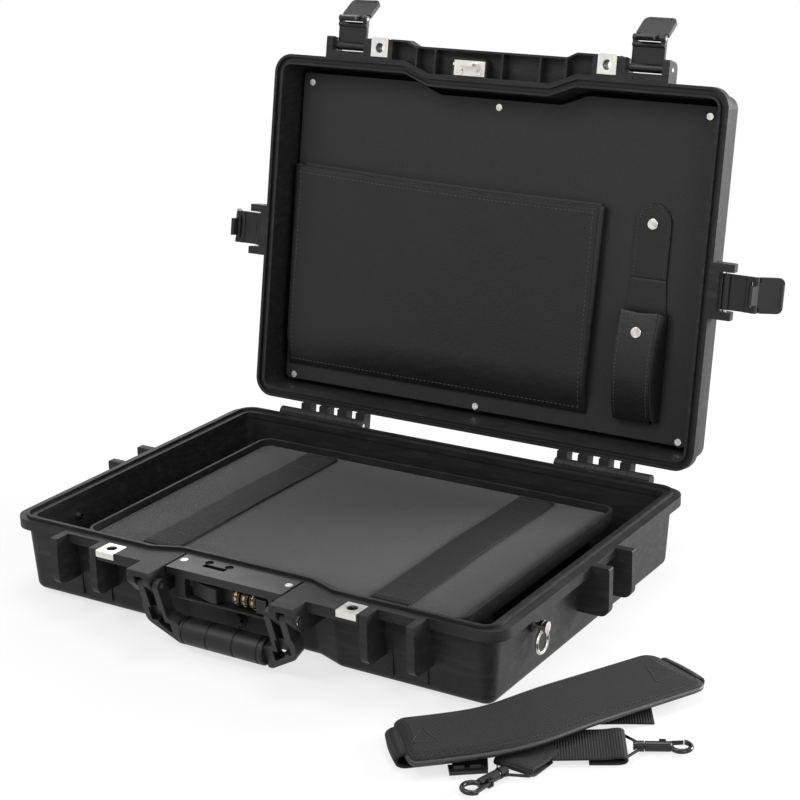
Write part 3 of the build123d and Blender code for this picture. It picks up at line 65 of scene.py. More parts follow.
# Heights and outlines of the lid's furniture, as they lie with the lid shut.
PANEL_FACE = 0.106
POUCH_LEFT, POUCH_RIGHT = -0.233, 0.126
POUCH_MOUTH_LEFT, POUCH_MOUTH_RIGHT = -0.066, -0.058
POUCH_BOTTOM = 0.148
POUCH_DEPTH = 0.0118
POCKET_LEFT, POCKET_RIGHT = 0.1590, 0.2050
POCKET_MOUTH, POCKET_BOTTOM = 0.0365, 0.1445
FLAP_LEFT, FLAP_RIGHT = 0.161, 0.199
FLAP_TOP, FLAP_FOLD = -0.067, 0.005

# The shoulder pad's middle line on the floor, from its left end to its right end.
PAD_LINE = ((0.2210, -0.2700), (0.2790, -0.2160), (0.3130, -0.1440), (0.3570, -0.0480))
PAD_HALF_WIDTH = 0.0365
PAD_LENGTH = 0.268
PAD_CORNER = 0.015
PAD_BASE, PAD_TOP = 0.0068, 0.0172

# The webbing: the run under the pad, the ends that go to the hooks, the spare ends and the turns.
WEBBING_THICKNESS = 0.0022
WEBBING_RIB_PITCH = 0.0022
WEBBING_FLOOR = 0.0014
RUN_WIDTH = 0.038
SPARE_WIDTH = 0.028
TURN_WIDTH = 0.044
HOOK_ENDS = (
    ("left", 0.036, (0.3106, -0.2478), (0.3140, -0.2040, 0.0050)),
    ("right", 0.048, (0.3669, -0.1786), (0.3180, -0.2065, 0.0050)),
)
SPARE_ENDS = (
    ("webbing_loose_end", (0.3270, -0.1380, 0.0020), (0.3650, -0.1155, 0.0016)),
    ("webbing_tail", (0.2600, -0.2315, 0.0020), (0.2800, -0.2645, 0.0016)),
)

# The tray's straps and the foam blocks under the tray.
TRAY_STRAP_X = 0.125
TRAY_STRAP_WIDTH = 0.038
BLOCK_SIZE = 0.056

# The camera's azimuth, elevation and roll in degrees, its place and its shift.
CAMERA_ANGLES = (32.271, 18.582, -1.165)
CAMERA_PLACE = (0.9597, -1.4318, 0.7583)
CAMERA_SHIFT = (0.0002, -0.0017)

# Each light's place, target, size and power.
LIGHTS = {
    "key_light": ((-0.9, -1.6, 2.3), (0.0, 0.1, 0.15), 1.2, 32.0),
    "fill_light": ((2.2, -1.3, 1.5), (0.0, 0.1, 0.2), 1.0, 20.0),
    "top_light": ((0.0, 0.5, 2.8), (0.0, 0.05, 0.1), 1.4, 26.0),
    "rear_light": ((2.1, 2.0, 0.8), (0.2, 0.0, 0.1), 1.2, 150.0),
    "rim_light": ((-1.6, 1.9, 1.6), (0.0, 0.2, 0.25), 1.2, 12.0),
}


# ---- shader expressions -------------------------------------------------------------------

class Value:
    """A number in a shader; arithmetic on it adds Math nodes."""

    def __init__(self, graph, socket):
        self.graph = graph
        self.socket = socket

    def math(self, operation, *others, clamp=False):
        """This value and others through one Math node."""
        settings = {"operation": operation, "use_clamp": clamp}
        node = self.graph.add("ShaderNodeMath", settings, [self, *others])
        return Value(self.graph, node.outputs[0])

    def __add__(self, other):
        return self.math("ADD", other)

    def __sub__(self, other):
        return self.math("SUBTRACT", other)

    def __rsub__(self, other):
        node = self.graph.add("ShaderNodeMath", {"operation": "SUBTRACT"}, [other, self])
        return Value(self.graph, node.outputs[0])

    def __mul__(self, other):
        return self.math("MULTIPLY", other)

    def __truediv__(self, other):
        return self.math("DIVIDE", other)

    def above(self, edge, softness):
        """0 below the edge, 1 above it, with a soft step."""
        return ((self - edge) / softness + 0.5).math("ADD", 0.0, clamp=True)


class Graph:
    """A node tree of a material or a world, built up from expressions."""

    def __init__(self, name, owners="materials"):
        self.owner = getattr(bpy.data, owners).new(name)
        self.owner.use_nodes = True
        self.tree = self.owner.node_tree
        self.tree.nodes.clear()
        self.place = self.add("ShaderNodeTexCoord", {}, {}).outputs["Object"]

    def add(self, kind, settings, sockets):
        """A node of a kind: its settings first, then the values or links of its sockets."""
        node = self.tree.nodes.new(kind)
        for key, setting in settings.items():
            if key == "stops":
                self.set_stops(node.color_ramp, setting)
            else:
                setattr(node, key, setting)
        pairs = sockets.items() if isinstance(sockets, dict) else enumerate(sockets)
        for key, given in pairs:
            self.feed(node.inputs[key], given)
        return node

    def set_stops(self, ramp, stops):
        """A ramp's stops, each a place and a grey or a colour."""
        while len(ramp.elements) > 1:
            ramp.elements.remove(ramp.elements[-1])
        for index, (place, shade) in enumerate(stops):
            element = ramp.elements[0] if index == 0 else ramp.elements.new(place)
            element.position = place
            element.color = (*shade, 1.0) if isinstance(shade, tuple) else (shade, shade, shade, 1.0)

    def feed(self, socket, given):
        """Links a value or sets a number, a colour or a vector."""
        if isinstance(given, Value):
            self.tree.links.new(given.socket, socket)
        elif isinstance(given, bpy.types.NodeSocket):
            self.tree.links.new(given, socket)
        elif socket.type == "RGBA":
            socket.default_value = (*given[:3], 1.0)
        else:
            socket.default_value = given

    def stretched(self, scale, turn=(0.0, 0.0, 0.0)):
        """Object coordinates, turned and then scaled by axis."""
        node = self.add("ShaderNodeMapping", {}, {"Vector": self.place, "Rotation": turn, "Scale": scale})
        return node.outputs[0]

    def axis(self, letter, place=None):
        """One coordinate as a value."""
        node = self.add("ShaderNodeSeparateXYZ", {}, [place or self.place])
        return Value(self, node.outputs[letter])

    def noise(self, size, detail=3.0, rough=0.55, place=None):
        """Cloudy noise with features of a size in metres."""
        sockets = {"Vector": place or self.place, "Scale": 1.0 / size, "Detail": detail, "Roughness": rough}
        return Value(self, self.add("ShaderNodeTexNoise", {}, sockets).outputs[0])

    def cells(self, size, feature="F1"):
        """Cell distance with cells of a size in metres."""
        sockets = {"Vector": self.place, "Scale": 1.0 / size}
        node = self.add("ShaderNodeTexVoronoi", {"feature": feature}, sockets)
        return Value(self, node.outputs["Distance"])

    def ridges(self, value, pitch):
        """A sine between 0 and 1 that repeats along a coordinate at a pitch in metres."""
        return (value * (2.0 * math.pi / pitch)).math("SINE") * 0.5 + 0.5

    def blend(self, share, first, second):
        """Two colours mixed by a value."""
        sockets = {0: share, 6: first, 7: second}
        node = self.add("ShaderNodeMix", {"data_type": "RGBA"}, sockets)
        return node.outputs[2]

    def surface(self, color, roughness, height=None, relief=0.0003, strength=0.6, **plain):
        """The finished surface: a principled shader with an optional relief."""
        sockets = {"Base Color": color, "Roughness": roughness}
        for key, given in plain.items():
            sockets[key.replace("_", " ")] = given
        if height is not None:
            relief_sockets = {"Strength": strength, "Distance": relief, "Height": height}
            sockets["Normal"] = self.add("ShaderNodeBump", {}, relief_sockets).outputs[0]
        shader = self.add("ShaderNodeBsdfPrincipled", {}, sockets)
        self.add("ShaderNodeOutputMaterial", {}, {"Surface": shader.outputs[0]})
        return self.owner

    def seen(self):
        """1 for what the camera sees, straight, in a reflection or through glass; 0 for light."""
        rays = self.add("ShaderNodeLightPath", {}, {})
        camera, glossy, through = (
            Value(self, rays.outputs[f"Is {kind} Ray"]) for kind in ("Camera", "Glossy", "Transmission")
        )
        return camera.math("MAXIMUM", glossy).math("MAXIMUM", through)


def shade(color, factor):
    """A colour made lighter or darker."""
    return tuple(min(1.0, channel * factor) for channel in color[:3])


# ---- materials ----------------------------------------------------------------------------

def pebbled_plastic(name, color, grain=0.0016, relief=0.00022, rough=0.5):
    """Moulded plastic with a pebbled face, dulled and scuffed in patches; the pebbles are also lightened in
    colour as painted shading of their relief.
    """
    graph = Graph(name)
    pebbles = graph.cells(grain)
    fine = graph.noise(grain * 0.45, detail=2.0)
    patches = graph.noise(0.055, detail=4.0)
    streaks = graph.noise(0.012, detail=5.0, place=graph.stretched((0.35, 1.0, 2.2)))
    scuff = streaks.above(0.58, 0.20)
    tone = graph.blend(patches, shade(color, 0.70), shade(color, 1.4))
    # Pebbles lightened by the cell pattern: partly the grain's own tone, partly painted shading that stands
    # in for light on the pebbled relief.
    tone = graph.blend(pebbles * 0.6, tone, shade(color, 2.2))
    tone = graph.blend(scuff * 0.45, tone, shade(color, 3.6))
    tone = graph.blend(fine.above(0.70, 0.08) * 0.25, tone, shade(color, 2.6))
    roughness = patches * 0.16 + fine * 0.08 + (rough - 0.12)
    height = pebbles * 0.8 + fine * 0.5
    return graph.surface(tone, roughness, height, relief, 0.85, Specular_IOR_Level=0.2)


def satin_plastic(name, color, rough=0.4):
    """Smooth moulded plastic with fine scratches and slightly worn patches."""
    graph = Graph(name)
    fine = graph.noise(0.0009, detail=3.0)
    patches = graph.noise(0.02, detail=4.0)
    scratch = graph.noise(0.004, detail=4.0, place=graph.stretched((0.15, 1.0, 6.0), (0.0, 0.3, 0.5)))
    marks = scratch.above(0.68, 0.06)
    tone = graph.blend(patches, shade(color, 0.8), shade(color, 1.25))
    tone = graph.blend(marks * 0.22, tone, shade(color, 3.0))
    roughness = patches * 0.18 + marks * 0.1 + (rough - 0.1)
    return graph.surface(tone, roughness, fine + marks * 0.4, 0.00008, 0.5, Specular_IOR_Level=0.32)


def grip_rubber(name, color, rough=0.42):
    """Moulded rubber with a fine mottle and a soft shine."""
    graph = Graph(name)
    mottle = graph.noise(0.0012, detail=3.0)
    patches = graph.noise(0.018, detail=3.0)
    tone = graph.blend(patches, shade(color, 0.75), shade(color, 1.5))
    roughness = patches * 0.2 + (rough - 0.1)
    return graph.surface(tone, roughness, mottle, 0.00012, 0.6, Specular_IOR_Level=0.3)


def brushed_metal(name, color, rough=0.32, direction=(0.06, 1.0, 1.0)):
    """Stamped steel, brushed one way, with dull smudges."""
    graph = Graph(name)
    brushed = graph.noise(0.0005, detail=2.0, place=graph.stretched(direction))
    smudge = graph.noise(0.006, detail=4.0)
    tone = graph.blend(smudge, shade(color, 0.72), shade(color, 1.05))
    roughness = brushed * 0.12 + smudge * 0.16 + (rough - 0.12)
    return graph.surface(tone, roughness, brushed, 0.00003, 0.4, Metallic=1.0)


def polished_metal(name, color, rough=0.2):
    """Bright plated metal with faint tarnish."""
    graph = Graph(name)
    tarnish = graph.noise(0.004, detail=4.0)
    fine = graph.noise(0.0006, detail=2.0)
    tone = graph.blend(tarnish.above(0.55, 0.25), color, shade(color, 0.55))
    roughness = tarnish * 0.2 + (rough - 0.08)
    return graph.surface(tone, roughness, fine, 0.00002, 0.3, Metallic=1.0)


def black_metal(name, color):
    """Black lacquered metal with worn, brighter spots."""
    graph = Graph(name)
    wear = graph.noise(0.003, detail=4.0)
    bare = wear.above(0.70, 0.06)
    tone = graph.blend(bare * 0.35, color, (0.12, 0.12, 0.13))
    roughness = wear * 0.12 + 0.12
    return graph.surface(
        tone, roughness, wear, 0.00003, 0.4, Metallic=bare * 0.3, Specular_IOR_Level=0.4,
    )


def leather(name, color, rough=0.46):
    """Smooth black leather with a fine pebbled grain and soft creases."""
    graph = Graph(name)
    grain = graph.cells(0.0013, "SMOOTH_F1")
    crease = graph.noise(0.016, detail=5.0, rough=0.6)
    fine = graph.noise(0.0005, detail=2.0)
    fold = (crease - 0.5).math("ABSOLUTE").above(0.035, 0.05)
    tone = graph.blend(crease, shade(color, 0.75), shade(color, 1.4))
    roughness = crease * 0.2 + grain * 0.1 + (rough - 0.14)
    height = grain * 0.7 + fine * 0.2 + fold * 0.5
    return graph.surface(tone, roughness, height, 0.00022, 0.6, Specular_IOR_Level=0.3)


def panel_sheet(name, color):
    """A plastic sheet with a leathery pebble and faint handling marks; the pebble grain is also lightened
    in colour as painted shading of its relief.
    """
    graph = Graph(name)
    grain = graph.cells(0.0015)
    fine = graph.noise(0.0007, detail=3.0)
    clouds = graph.noise(0.07, detail=4.0)
    marks = graph.noise(0.01, detail=5.0, place=graph.stretched((1.0, 1.0, 0.4), (0.5, 0.2, 0.9)))
    scuff = marks.above(0.70, 0.07)
    tone = graph.blend(clouds, shade(color, 0.75), shade(color, 1.3))
    # Grain lightened by the cell pattern: partly the sheet's own tone, partly painted shading that stands
    # in for light on the pebbled relief.
    tone = graph.blend(grain * 0.6, tone, shade(color, 2.0))
    tone = graph.blend(scuff * 0.2, tone, shade(color, 2.4))
    roughness = clouds * 0.14 + fine * 0.08 + 0.44
    return graph.surface(tone, roughness, grain * 0.7 + fine * 0.6, 0.00018, 0.6, Specular_IOR_Level=0.25)


def foam(name, color):
    """Open-cell foam: small dark pores in a dull face."""
    graph = Graph(name)
    pores = graph.cells(0.0011)
    fine = graph.noise(0.0005, detail=2.0)
    clouds = graph.noise(0.04, detail=3.0)
    hole = 1 - pores.above(0.22, 0.2)
    tone = graph.blend(clouds, shade(color, 0.85), shade(color, 1.2))
    tone = graph.blend(hole * 0.7, tone, shade(color, 0.35))
    height = pores + fine * 0.3
    return graph.surface(tone, clouds * 0.08 + 0.88, height, 0.0005, 0.8, Specular_IOR_Level=0.15)


def woven_nylon(name, color, pitch=0.0021, sheen=0.03):
    """Tight nylon cloth: two crossing sets of threads set on the bias."""
    graph = Graph(name)
    bias = graph.stretched((1.0, 1.0, 1.0), (0.0, 0.0, math.radians(38.0)))
    warp = graph.ridges(graph.axis("X", bias), pitch)
    weft = graph.ridges(graph.axis("Y", bias), pitch)
    weave = warp.math("MAXIMUM", weft) * 0.6 + warp * weft * 0.6
    clouds = graph.noise(0.03, detail=4.0)
    fuzz = graph.noise(0.0006, detail=2.0)
    tone = graph.blend(weave, shade(color, 0.35), shade(color, 2.2))
    tone = graph.blend(clouds * 0.35, tone, shade(color, 1.7))
    height = weave + fuzz * 0.3
    return graph.surface(
        tone, clouds * 0.1 + 0.66, height, 0.0003, 0.8, Sheen_Weight=sheen, Specular_IOR_Level=0.15,
    )


def ribbed_webbing(name, color, pitch=0.0026, letter="X", turn=0.0):
    """Webbing with ribs that repeat along one turned axis, and fine threads across them."""
    graph = Graph(name)
    place = graph.stretched((1.0, 1.0, 1.0), (0.0, 0.0, turn))
    ribs = graph.ridges(graph.axis(letter, place), pitch)
    other = "Y" if letter == "X" else "X"
    threads = graph.ridges(graph.axis(other, place), pitch * 0.42)
    clouds = graph.noise(0.02, detail=4.0)
    weave = ribs * 0.75 + threads * 0.3
    tone = graph.blend(weave, shade(color, 0.3), shade(color, 2.2))
    tone = graph.blend(clouds * 0.3, tone, shade(color, 1.8))
    return graph.surface(tone, clouds * 0.12 + 0.6, weave, 0.0005, 1.0, Specular_IOR_Level=0.2)


def thread(name, color):
    """Sewing thread with a twist."""
    graph = Graph(name)
    twist = graph.noise(0.0006, detail=2.0)
    tone = graph.blend(twist, shade(color, 0.7), shade(color, 1.3))
    return graph.surface(tone, twist * 0.1 + 0.55, twist, 0.0001, 0.6)


def piping_cloth(name, color):
    """The smooth bound edge of a padded piece."""
    graph = Graph(name)
    weave = graph.noise(0.0007, detail=2.0)
    clouds = graph.noise(0.02, detail=3.0)
    tone = graph.blend(clouds, shade(color, 0.8), shade(color, 1.4))
    return graph.surface(tone, clouds * 0.12 + 0.42, weave, 0.0002, 0.7)


def studio_floor(name, color, near_share=0.72, near_edge=0.75, near_fade=0.7):
    """A pale matt floor that keeps the object's shadow and runs out to plain white far off."""
    graph = Graph(name)
    clouds = graph.noise(1.2, detail=2.0)
    tone = graph.blend(clouds, shade(color, 0.995), shade(color, 1.005))
    matt = graph.add("ShaderNodeBsdfPrincipled", {}, {
        "Base Color": tone, "Roughness": 0.9, "Specular IOR Level": 0.1,
    })
    white = graph.add("ShaderNodeEmission", {}, {"Color": (1.0, 1.0, 1.0), "Strength": 1.0})
    length = graph.add("ShaderNodeVectorMath", {"operation": "LENGTH"}, [graph.place])
    far = Value(graph, length.outputs["Value"]).above(near_edge, near_fade)
    share = (far * (1.0 - near_share) + near_share) * graph.seen()
    mixed = graph.add("ShaderNodeMixShader", {}, [share, matt.outputs[0], white.outputs[0]])
    graph.add("ShaderNodeOutputMaterial", {}, {"Surface": mixed.outputs[0]})
    return graph.owner


def studio_world(name, ambient):
    """A white surround for what is seen, and a softer one for light."""
    graph = Graph(name, "worlds")
    level = graph.seen() * (1.0 - ambient) + ambient
    sky = graph.add("ShaderNodeBackground", {}, {"Color": (1.0, 1.0, 1.0), "Strength": level})
    graph.add("ShaderNodeOutputWorld", {}, {"Surface": sky.outputs[0]})
    return graph.owner


# ---- mesh tools ---------------------------------------------------------------------------

def on_lid(x, y, rise):
    """A point of the shut lid, rise off the panel's face towards the base, on the open lid."""
    across = y - LID_HINGE.y
    up = PANEL_FACE - rise - LID_HINGE.z
    cosine = math.cos(LID_ANGLE)
    sine = math.sin(LID_ANGLE)
    return Vector((
        x, LID_HINGE.y + across * cosine + up * sine, LID_HINGE.z - across * sine + up * cosine,
    ))


def lid_normal():
    """The direction in which the open lid's panel faces."""
    return (on_lid(0.0, 0.0, 0.001) - on_lid(0.0, 0.0, 0.0)).normalized()


def finish_piece(piece, body, material, smooth=True):
    """Gives a piece its body, material and slot."""
    piece.data.materials.clear()
    piece.data.materials.append(material)
    if smooth and piece.type == "MESH":
        for polygon in piece.data.polygons:
            polygon.use_smooth = True
    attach(piece, body)
    return piece


def mesh_piece(name, points, faces, body, material):
    """A new piece from points and faces."""
    mesh = bpy.data.meshes.new(name)
    mesh.from_pydata([tuple(point) for point in points], [], faces)
    mesh.update()
    fix_normals(mesh)
    piece = bpy.data.objects.new(name, mesh)
    bpy.context.scene.collection.objects.link(piece)
    return finish_piece(piece, body, material)


def fix_normals(mesh):
    """Turns a mesh's faces outwards."""
    work = bmesh.new()
    work.from_mesh(mesh)
    bmesh.ops.recalc_face_normals(work, faces=work.faces)
    work.to_mesh(mesh)
    work.free()


def grid_faces(columns, rows, start=0, wrap=False):
    """The faces of a grid of points stored row by row."""
    faces = []
    for row in range(rows - 1):
        for column in range(columns if wrap else columns - 1):
            beside = (column + 1) % columns
            low = start + row * columns
            high = low + columns
            faces.append((low + column, low + beside, high + beside, high + column))
    return faces


def thick_sheet(name, point, columns, rows, thickness, body, material):
    """A sheet from a function of two shares, made thick and softened at its edges."""
    points = []
    for row in range(rows):
        for column in range(columns):
            points.append(point(column / (columns - 1), row / (rows - 1)))
    faces = grid_faces(columns, rows)
    piece = mesh_piece(name, points, faces, body, material)
    skin = piece.modifiers.new("Thickness", "SOLIDIFY")
    skin.thickness = thickness
    skin.offset = 0.0
    edge = piece.modifiers.new("Edge", "BEVEL")
    edge.width = thickness * 0.3
    edge.segments = 2
    edge.limit_method = "ANGLE"
    edge.angle_limit = math.radians(50.0)
    return piece


def swept(name, route, section, body, material, closed=False, up=UP):
    """A section of (across, up) points carried along a route; closed joins the route's ends."""
    count = len(route)
    points = []
    for index, place in enumerate(route):
        before = route[(index - 1) % count] if closed or index > 0 else place
        after = route[(index + 1) % count] if closed or index < count - 1 else place
        along = (after - before).normalized()
        across = along.cross(up)
        if across.length < 1e-6:
            across = Vector((1.0, 0.0, 0.0))
        across.normalize()
        rise = across.cross(along).normalized()
        for side, height in section:
            points.append(place + across * side + rise * height)
    width = len(section)
    faces = grid_faces(width, count, wrap=True)
    if closed:
        last = (count - 1) * width
        for column in range(width):
            beside = (column + 1) % width
            faces.append((last + column, last + beside, beside, column))
    else:
        faces.append(tuple(reversed(range(width))))
        faces.append(tuple((count - 1) * width + column for column in range(width)))
    return mesh_piece(name, points, faces, body, material)


def round_section(radius, sides=10):
    """A round section for a swept piece."""
    turns = [2.0 * math.pi * side / sides for side in range(sides)]
    return [(radius * math.cos(turn), radius * math.sin(turn)) for turn in turns]


def strap_section(width, thickness):
    """The section of a flat strap with rounded edges and a slightly crowned face."""
    half = width / 2
    edge = thickness / 2
    points = []
    for step in range(5):
        turn = math.pi / 2 - math.pi * step / 4
        points.append((half - edge + edge * math.cos(turn), edge * math.sin(turn)))
    for step in range(5):
        turn = -math.pi / 2 - math.pi * step / 4
        points.append((-half + edge + edge * math.cos(turn), edge * math.sin(turn)))
    return points


def smooth_route(points, steps):
    """Points along a smooth curve through hand-set points."""
    route = []
    last = len(points) - 1
    for index in range(last):
        a = Vector(points[max(index - 1, 0)])
        b = Vector(points[index])
        c = Vector(points[index + 1])
        d = Vector(points[min(index + 2, last)])
        for step in range(steps):
            t = step / steps
            route.append(0.5 * (
                2 * b + (c - a) * t + (2 * a - 5 * b + 4 * c - d) * t ** 2
                + (3 * b - a - 3 * c + d) * t ** 3
            ))
    route.append(Vector(points[last]))
    return route


def resampled(route, spacing):
    """A route's points at an even spacing, with the direction at each."""
    places = []
    carried = 0.0
    for start, end in zip(route, route[1:]):
        length = (end - start).length
        if length == 0.0:
            continue
        direction = (end - start) / length
        travel = spacing - carried if carried > 0.0 else 0.0
        while travel < length:
            places.append((start + direction * travel, direction))
            travel += spacing
        carried = (length - (travel - spacing)) % spacing
    return places


def stitches(name, route, normal, body, material, length=0.0030, spacing=0.0048, radius=0.00038):
    """A row of sewn stitches along a route on a surface that faces normal."""
    points = []
    faces = []
    sides = 6
    stations = ((-0.5, 0.25), (-0.38, 0.85), (0.0, 1.0), (0.38, 0.85), (0.5, 0.25))
    for place, direction in resampled(route, spacing):
        side = direction.cross(normal).normalized()
        start = len(points)
        for share, size in stations:
            centre = place + direction * (share * length) + normal * (radius * 0.35 * size)
            for corner in range(sides):
                turn = 2.0 * math.pi * corner / sides
                offset = side * math.cos(turn) + normal * math.sin(turn) * 0.8
                points.append(centre + offset * radius * size)
        faces.extend(grid_faces(sides, len(stations), start, wrap=True))
        faces.append(tuple(start + corner for corner in range(sides)))
        end = start + sides * (len(stations) - 1)
        faces.append(tuple(end + corner for corner in reversed(range(sides))))
    return mesh_piece(name, points, faces, body, material)


def slab_rings(outline, base, top, crown, edge):
    """Rings of points for a padded slab over a plan outline, from the base's middle to the top's."""
    count = len(outline)
    middle = sum(outline, Vector((0.0, 0.0))) / count
    inward = []
    for index, point in enumerate(outline):
        along = outline[(index + 1) % count] - outline[index - 1]
        side = Vector((-along.y, along.x)).normalized()
        if side.dot(middle - point) < 0.0:
            side = -side
        inward.append(side)
    rings = []
    for share, lift in ((1.0, 0.0), (0.35, 0.08), (0.0, 0.30), (0.0, 0.62), (0.30, 0.90), (1.0, 1.0)):
        height = base + (top - base) * lift
        rings.append([
            Vector((*(point + side * edge * share), height)) for point, side in zip(outline, inward)
        ])
    for share in (0.25, 0.55, 0.85):
        height = top + crown * math.sin(share * math.pi / 2)
        ring = rings[5]
        rings.append([
            Vector((*(Vector(point[:2]).lerp(middle, share)), height)) for point in ring
        ])
    return rings


# ---- settings -----------------------------------------------------------------------------

def color_setting(name, things, default):
    """A colour in the settings, for the things it colours."""
    return bpy.props.FloatVectorProperty(
        name=f"{name} colour", description=f"Colour of {things}", subtype="COLOR",
        size=3, min=0.0, max=1.0, default=default,
    )


class HardCaseSettings(bpy.types.PropertyGroup):
    """Colours and sizes of the case's finishes."""

    shell_color: color_setting("Shell", "the moulded shells", (0.0110, 0.0108, 0.0108))
    latch_color: color_setting("Latch", "latches, handle frame and lock housing", (0.0095, 0.0094, 0.0095))
    rubber_color: color_setting("Rubber", "the grip, the seal and the valve", (0.0080, 0.0080, 0.0082))
    steel_color: color_setting("Steel", "plates and screws", (0.78, 0.76, 0.73))
    brass_color: color_setting("Dial", "the lock's dials", (0.62, 0.50, 0.30))
    panel_color: color_setting("Panel", "the sheet in the lid", (0.0160, 0.0150, 0.0150))
    leather_color: color_setting("Leather", "the pouches", (0.0090, 0.0086, 0.0086))
    foam_color: color_setting("Foam", "the foam padding", (0.0140, 0.0138, 0.0140))
    webbing_color: color_setting("Webbing", "the straps", (0.0120, 0.0118, 0.0120))
    thread_color: color_setting("Thread", "the stitching", (0.0600, 0.0590, 0.0570))
    floor_color: color_setting("Floor", "the studio floor", (0.93, 0.93, 0.93))
    stitch_spacing: bpy.props.FloatProperty(
        name="Stitch spacing", description="Distance from stitch to stitch", unit="LENGTH",
        min=0.001, max=0.02, default=0.0048, precision=4,
    )
    grain_size: bpy.props.FloatProperty(
        name="Shell grain", description="Size of the pebbles in the moulded shells", unit="LENGTH",
        min=0.0002, max=0.01, default=0.0016, precision=4,
    )
    ambient: bpy.props.FloatProperty(
        name="Ambient light", description="How strongly the surround lights the case",
        subtype="FACTOR", min=0.0, max=1.0, default=0.30,
    )
    lens: bpy.props.FloatProperty(
        name="Camera lens", description="Focal length of the camera", unit="CAMERA",
        min=10.0, max=300.0, default=88.59,
    )


def paint(material, *nodes):
    """Puts a material on CAD nodes."""
    for name in nodes:
        node = frame["nodes"][name]
        for slot in node.material_slots:
            slot.link = "OBJECT"
            slot.material = material


# ---- operators ----------------------------------------------------------------------------

class HARDCASE_OT_shells(bpy.types.Operator):
    """Finish the moulded base and lid"""

    bl_idname = "hardcase.shells"
    bl_label = "Finish Shells"

    def execute(self, context):
        settings = context.scene.hard_case
        plastic = pebbled_plastic("pebbled_shell", settings.shell_color, settings.grain_size)
        paint(plastic, "base_shell", "lid_shell")
        return {"FINISHED"}


class HARDCASE_OT_lock(bpy.types.Operator):
    """Finish the lock housing, its slide, button and numbered dials"""

    bl_idname = "hardcase.lock"
    bl_label = "Finish Lock"

    def execute(self, context):
        settings = context.scene.hard_case
        housing = satin_plastic("lock_plastic", settings.latch_color, 0.42)
        paint(housing, "lock_housing", "lock_slide", "lock_button")
        bronze = polished_metal("dial_bronze", shade(settings.brass_color, 0.12), 0.34)
        steel = polished_metal("dial_shaft_steel", settings.steel_color, 0.25)
        paint(steel, "dial_shaft")
        gilt = polished_metal("dial_numbers", shade(settings.brass_color, 1.4), 0.4)
        for number in (1, 2, 3):
            paint(bronze, f"lock_dial_{number}")
            dial_digits(number, gilt)
        return {"FINISHED"}


def dial_digits(number, ink):
    """The ten digits round one dial, as one mesh."""
    joint = JOINTS[f"dial_{number}_turn"]
    centre = Vector(joint["pos_m"])
    low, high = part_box(f"lock_dial_{number}")
    radius = (high[1] - low[1]) / 2
    parts = []
    for digit in range(10):
        curve = bpy.data.curves.new(f"digit_{number}_{digit}", "FONT")
        curve.body = str(digit)
        curve.size = 0.0046
        curve.extrude = 0.00012
        curve.align_x = "CENTER"
        curve.align_y = "CENTER"
        text = bpy.data.objects.new(curve.name, curve)
        bpy.context.scene.collection.objects.link(text)
        turn = 2.0 * math.pi * (digit + 0.5 + 0.5 * number) / 10
        around = Matrix.Rotation(turn, 4, "X")
        out = Matrix.Translation((0.0, -(radius + 0.00002), 0.0)) @ Matrix.Rotation(math.pi / 2, 4, "X")
        text.matrix_world = Matrix.Translation(centre) @ around @ out
        parts.append(text)
    bpy.context.view_layer.update()
    work = bmesh.new()
    graph = bpy.context.evaluated_depsgraph_get()
    for text in parts:
        mesh = bpy.data.meshes.new_from_object(text.evaluated_get(graph))
        mesh.transform(text.matrix_world)
        work.from_mesh(mesh)
        bpy.data.meshes.remove(mesh)
        bpy.data.objects.remove(text)
    mesh = bpy.data.meshes.new(f"dial_digits_{number}")
    work.to_mesh(mesh)
    work.free()
    piece = bpy.data.objects.new(mesh.name, mesh)
    bpy.context.scene.collection.objects.link(piece)
    finish_piece(piece, f"dial_{number}", ink, smooth=False)


class HARDCASE_OT_latches(bpy.types.Operator):
    """Finish the latch arms and levers"""

    bl_idname = "hardcase.latches"
    bl_label = "Finish Latches"

    def execute(self, context):
        settings = context.scene.hard_case
        plastic = satin_plastic("latch_plastic", settings.latch_color, 0.38)
        steel = polished_metal("latch_pin_steel", settings.steel_color, 0.22)
        for bay in BAYS:
            paint(plastic, f"latch_arm_{bay}", f"latch_lever_{bay}")
            paint(steel, f"lever_pin_{bay}")
        paint(steel, "latch_pins")
        return {"FINISHED"}


class HARDCASE_OT_handle(bpy.types.Operator):
    """Finish the handle's frame, grip and pins"""

    bl_idname = "hardcase.handle"
    bl_label = "Finish Handle"

    def execute(self, context):
        settings = context.scene.hard_case
        plastic = satin_plastic("handle_plastic", settings.latch_color, 0.44)
        paint(plastic, "handle_frame")
        paint(grip_rubber("handle_rubber", settings.rubber_color), "handle_grip")
        paint(polished_metal("handle_pin_steel", settings.steel_color, 0.22), "handle_pins")
        return {"FINISHED"}


class HARDCASE_OT_metalwork(bpy.types.Operator):
    """Finish the plates, screws, pins, posts, rings, seal and valve"""

    bl_idname = "hardcase.metalwork"
    bl_label = "Finish Metalwork"

    def execute(self, context):
        settings = context.scene.hard_case
        plate = brushed_metal("plate_steel", settings.steel_color)
        paint(plate, "base_padlock_plates", "lid_padlock_plates", "hasp_plate")
        screw = polished_metal("screw_steel", settings.steel_color, 0.26)
        paint(screw, "housing_screws", "hasp_screws", "panel_screws")
        bright = polished_metal("ring_steel", settings.steel_color, 0.16)
        paint(bright, "hinge_pins", "strap_posts", "strap_ring_left", "strap_ring_right")
        rubber = grip_rubber("seal_rubber", settings.rubber_color, 0.55)
        paint(rubber, "lid_gasket", "pressure_valve")
        return {"FINISHED"}


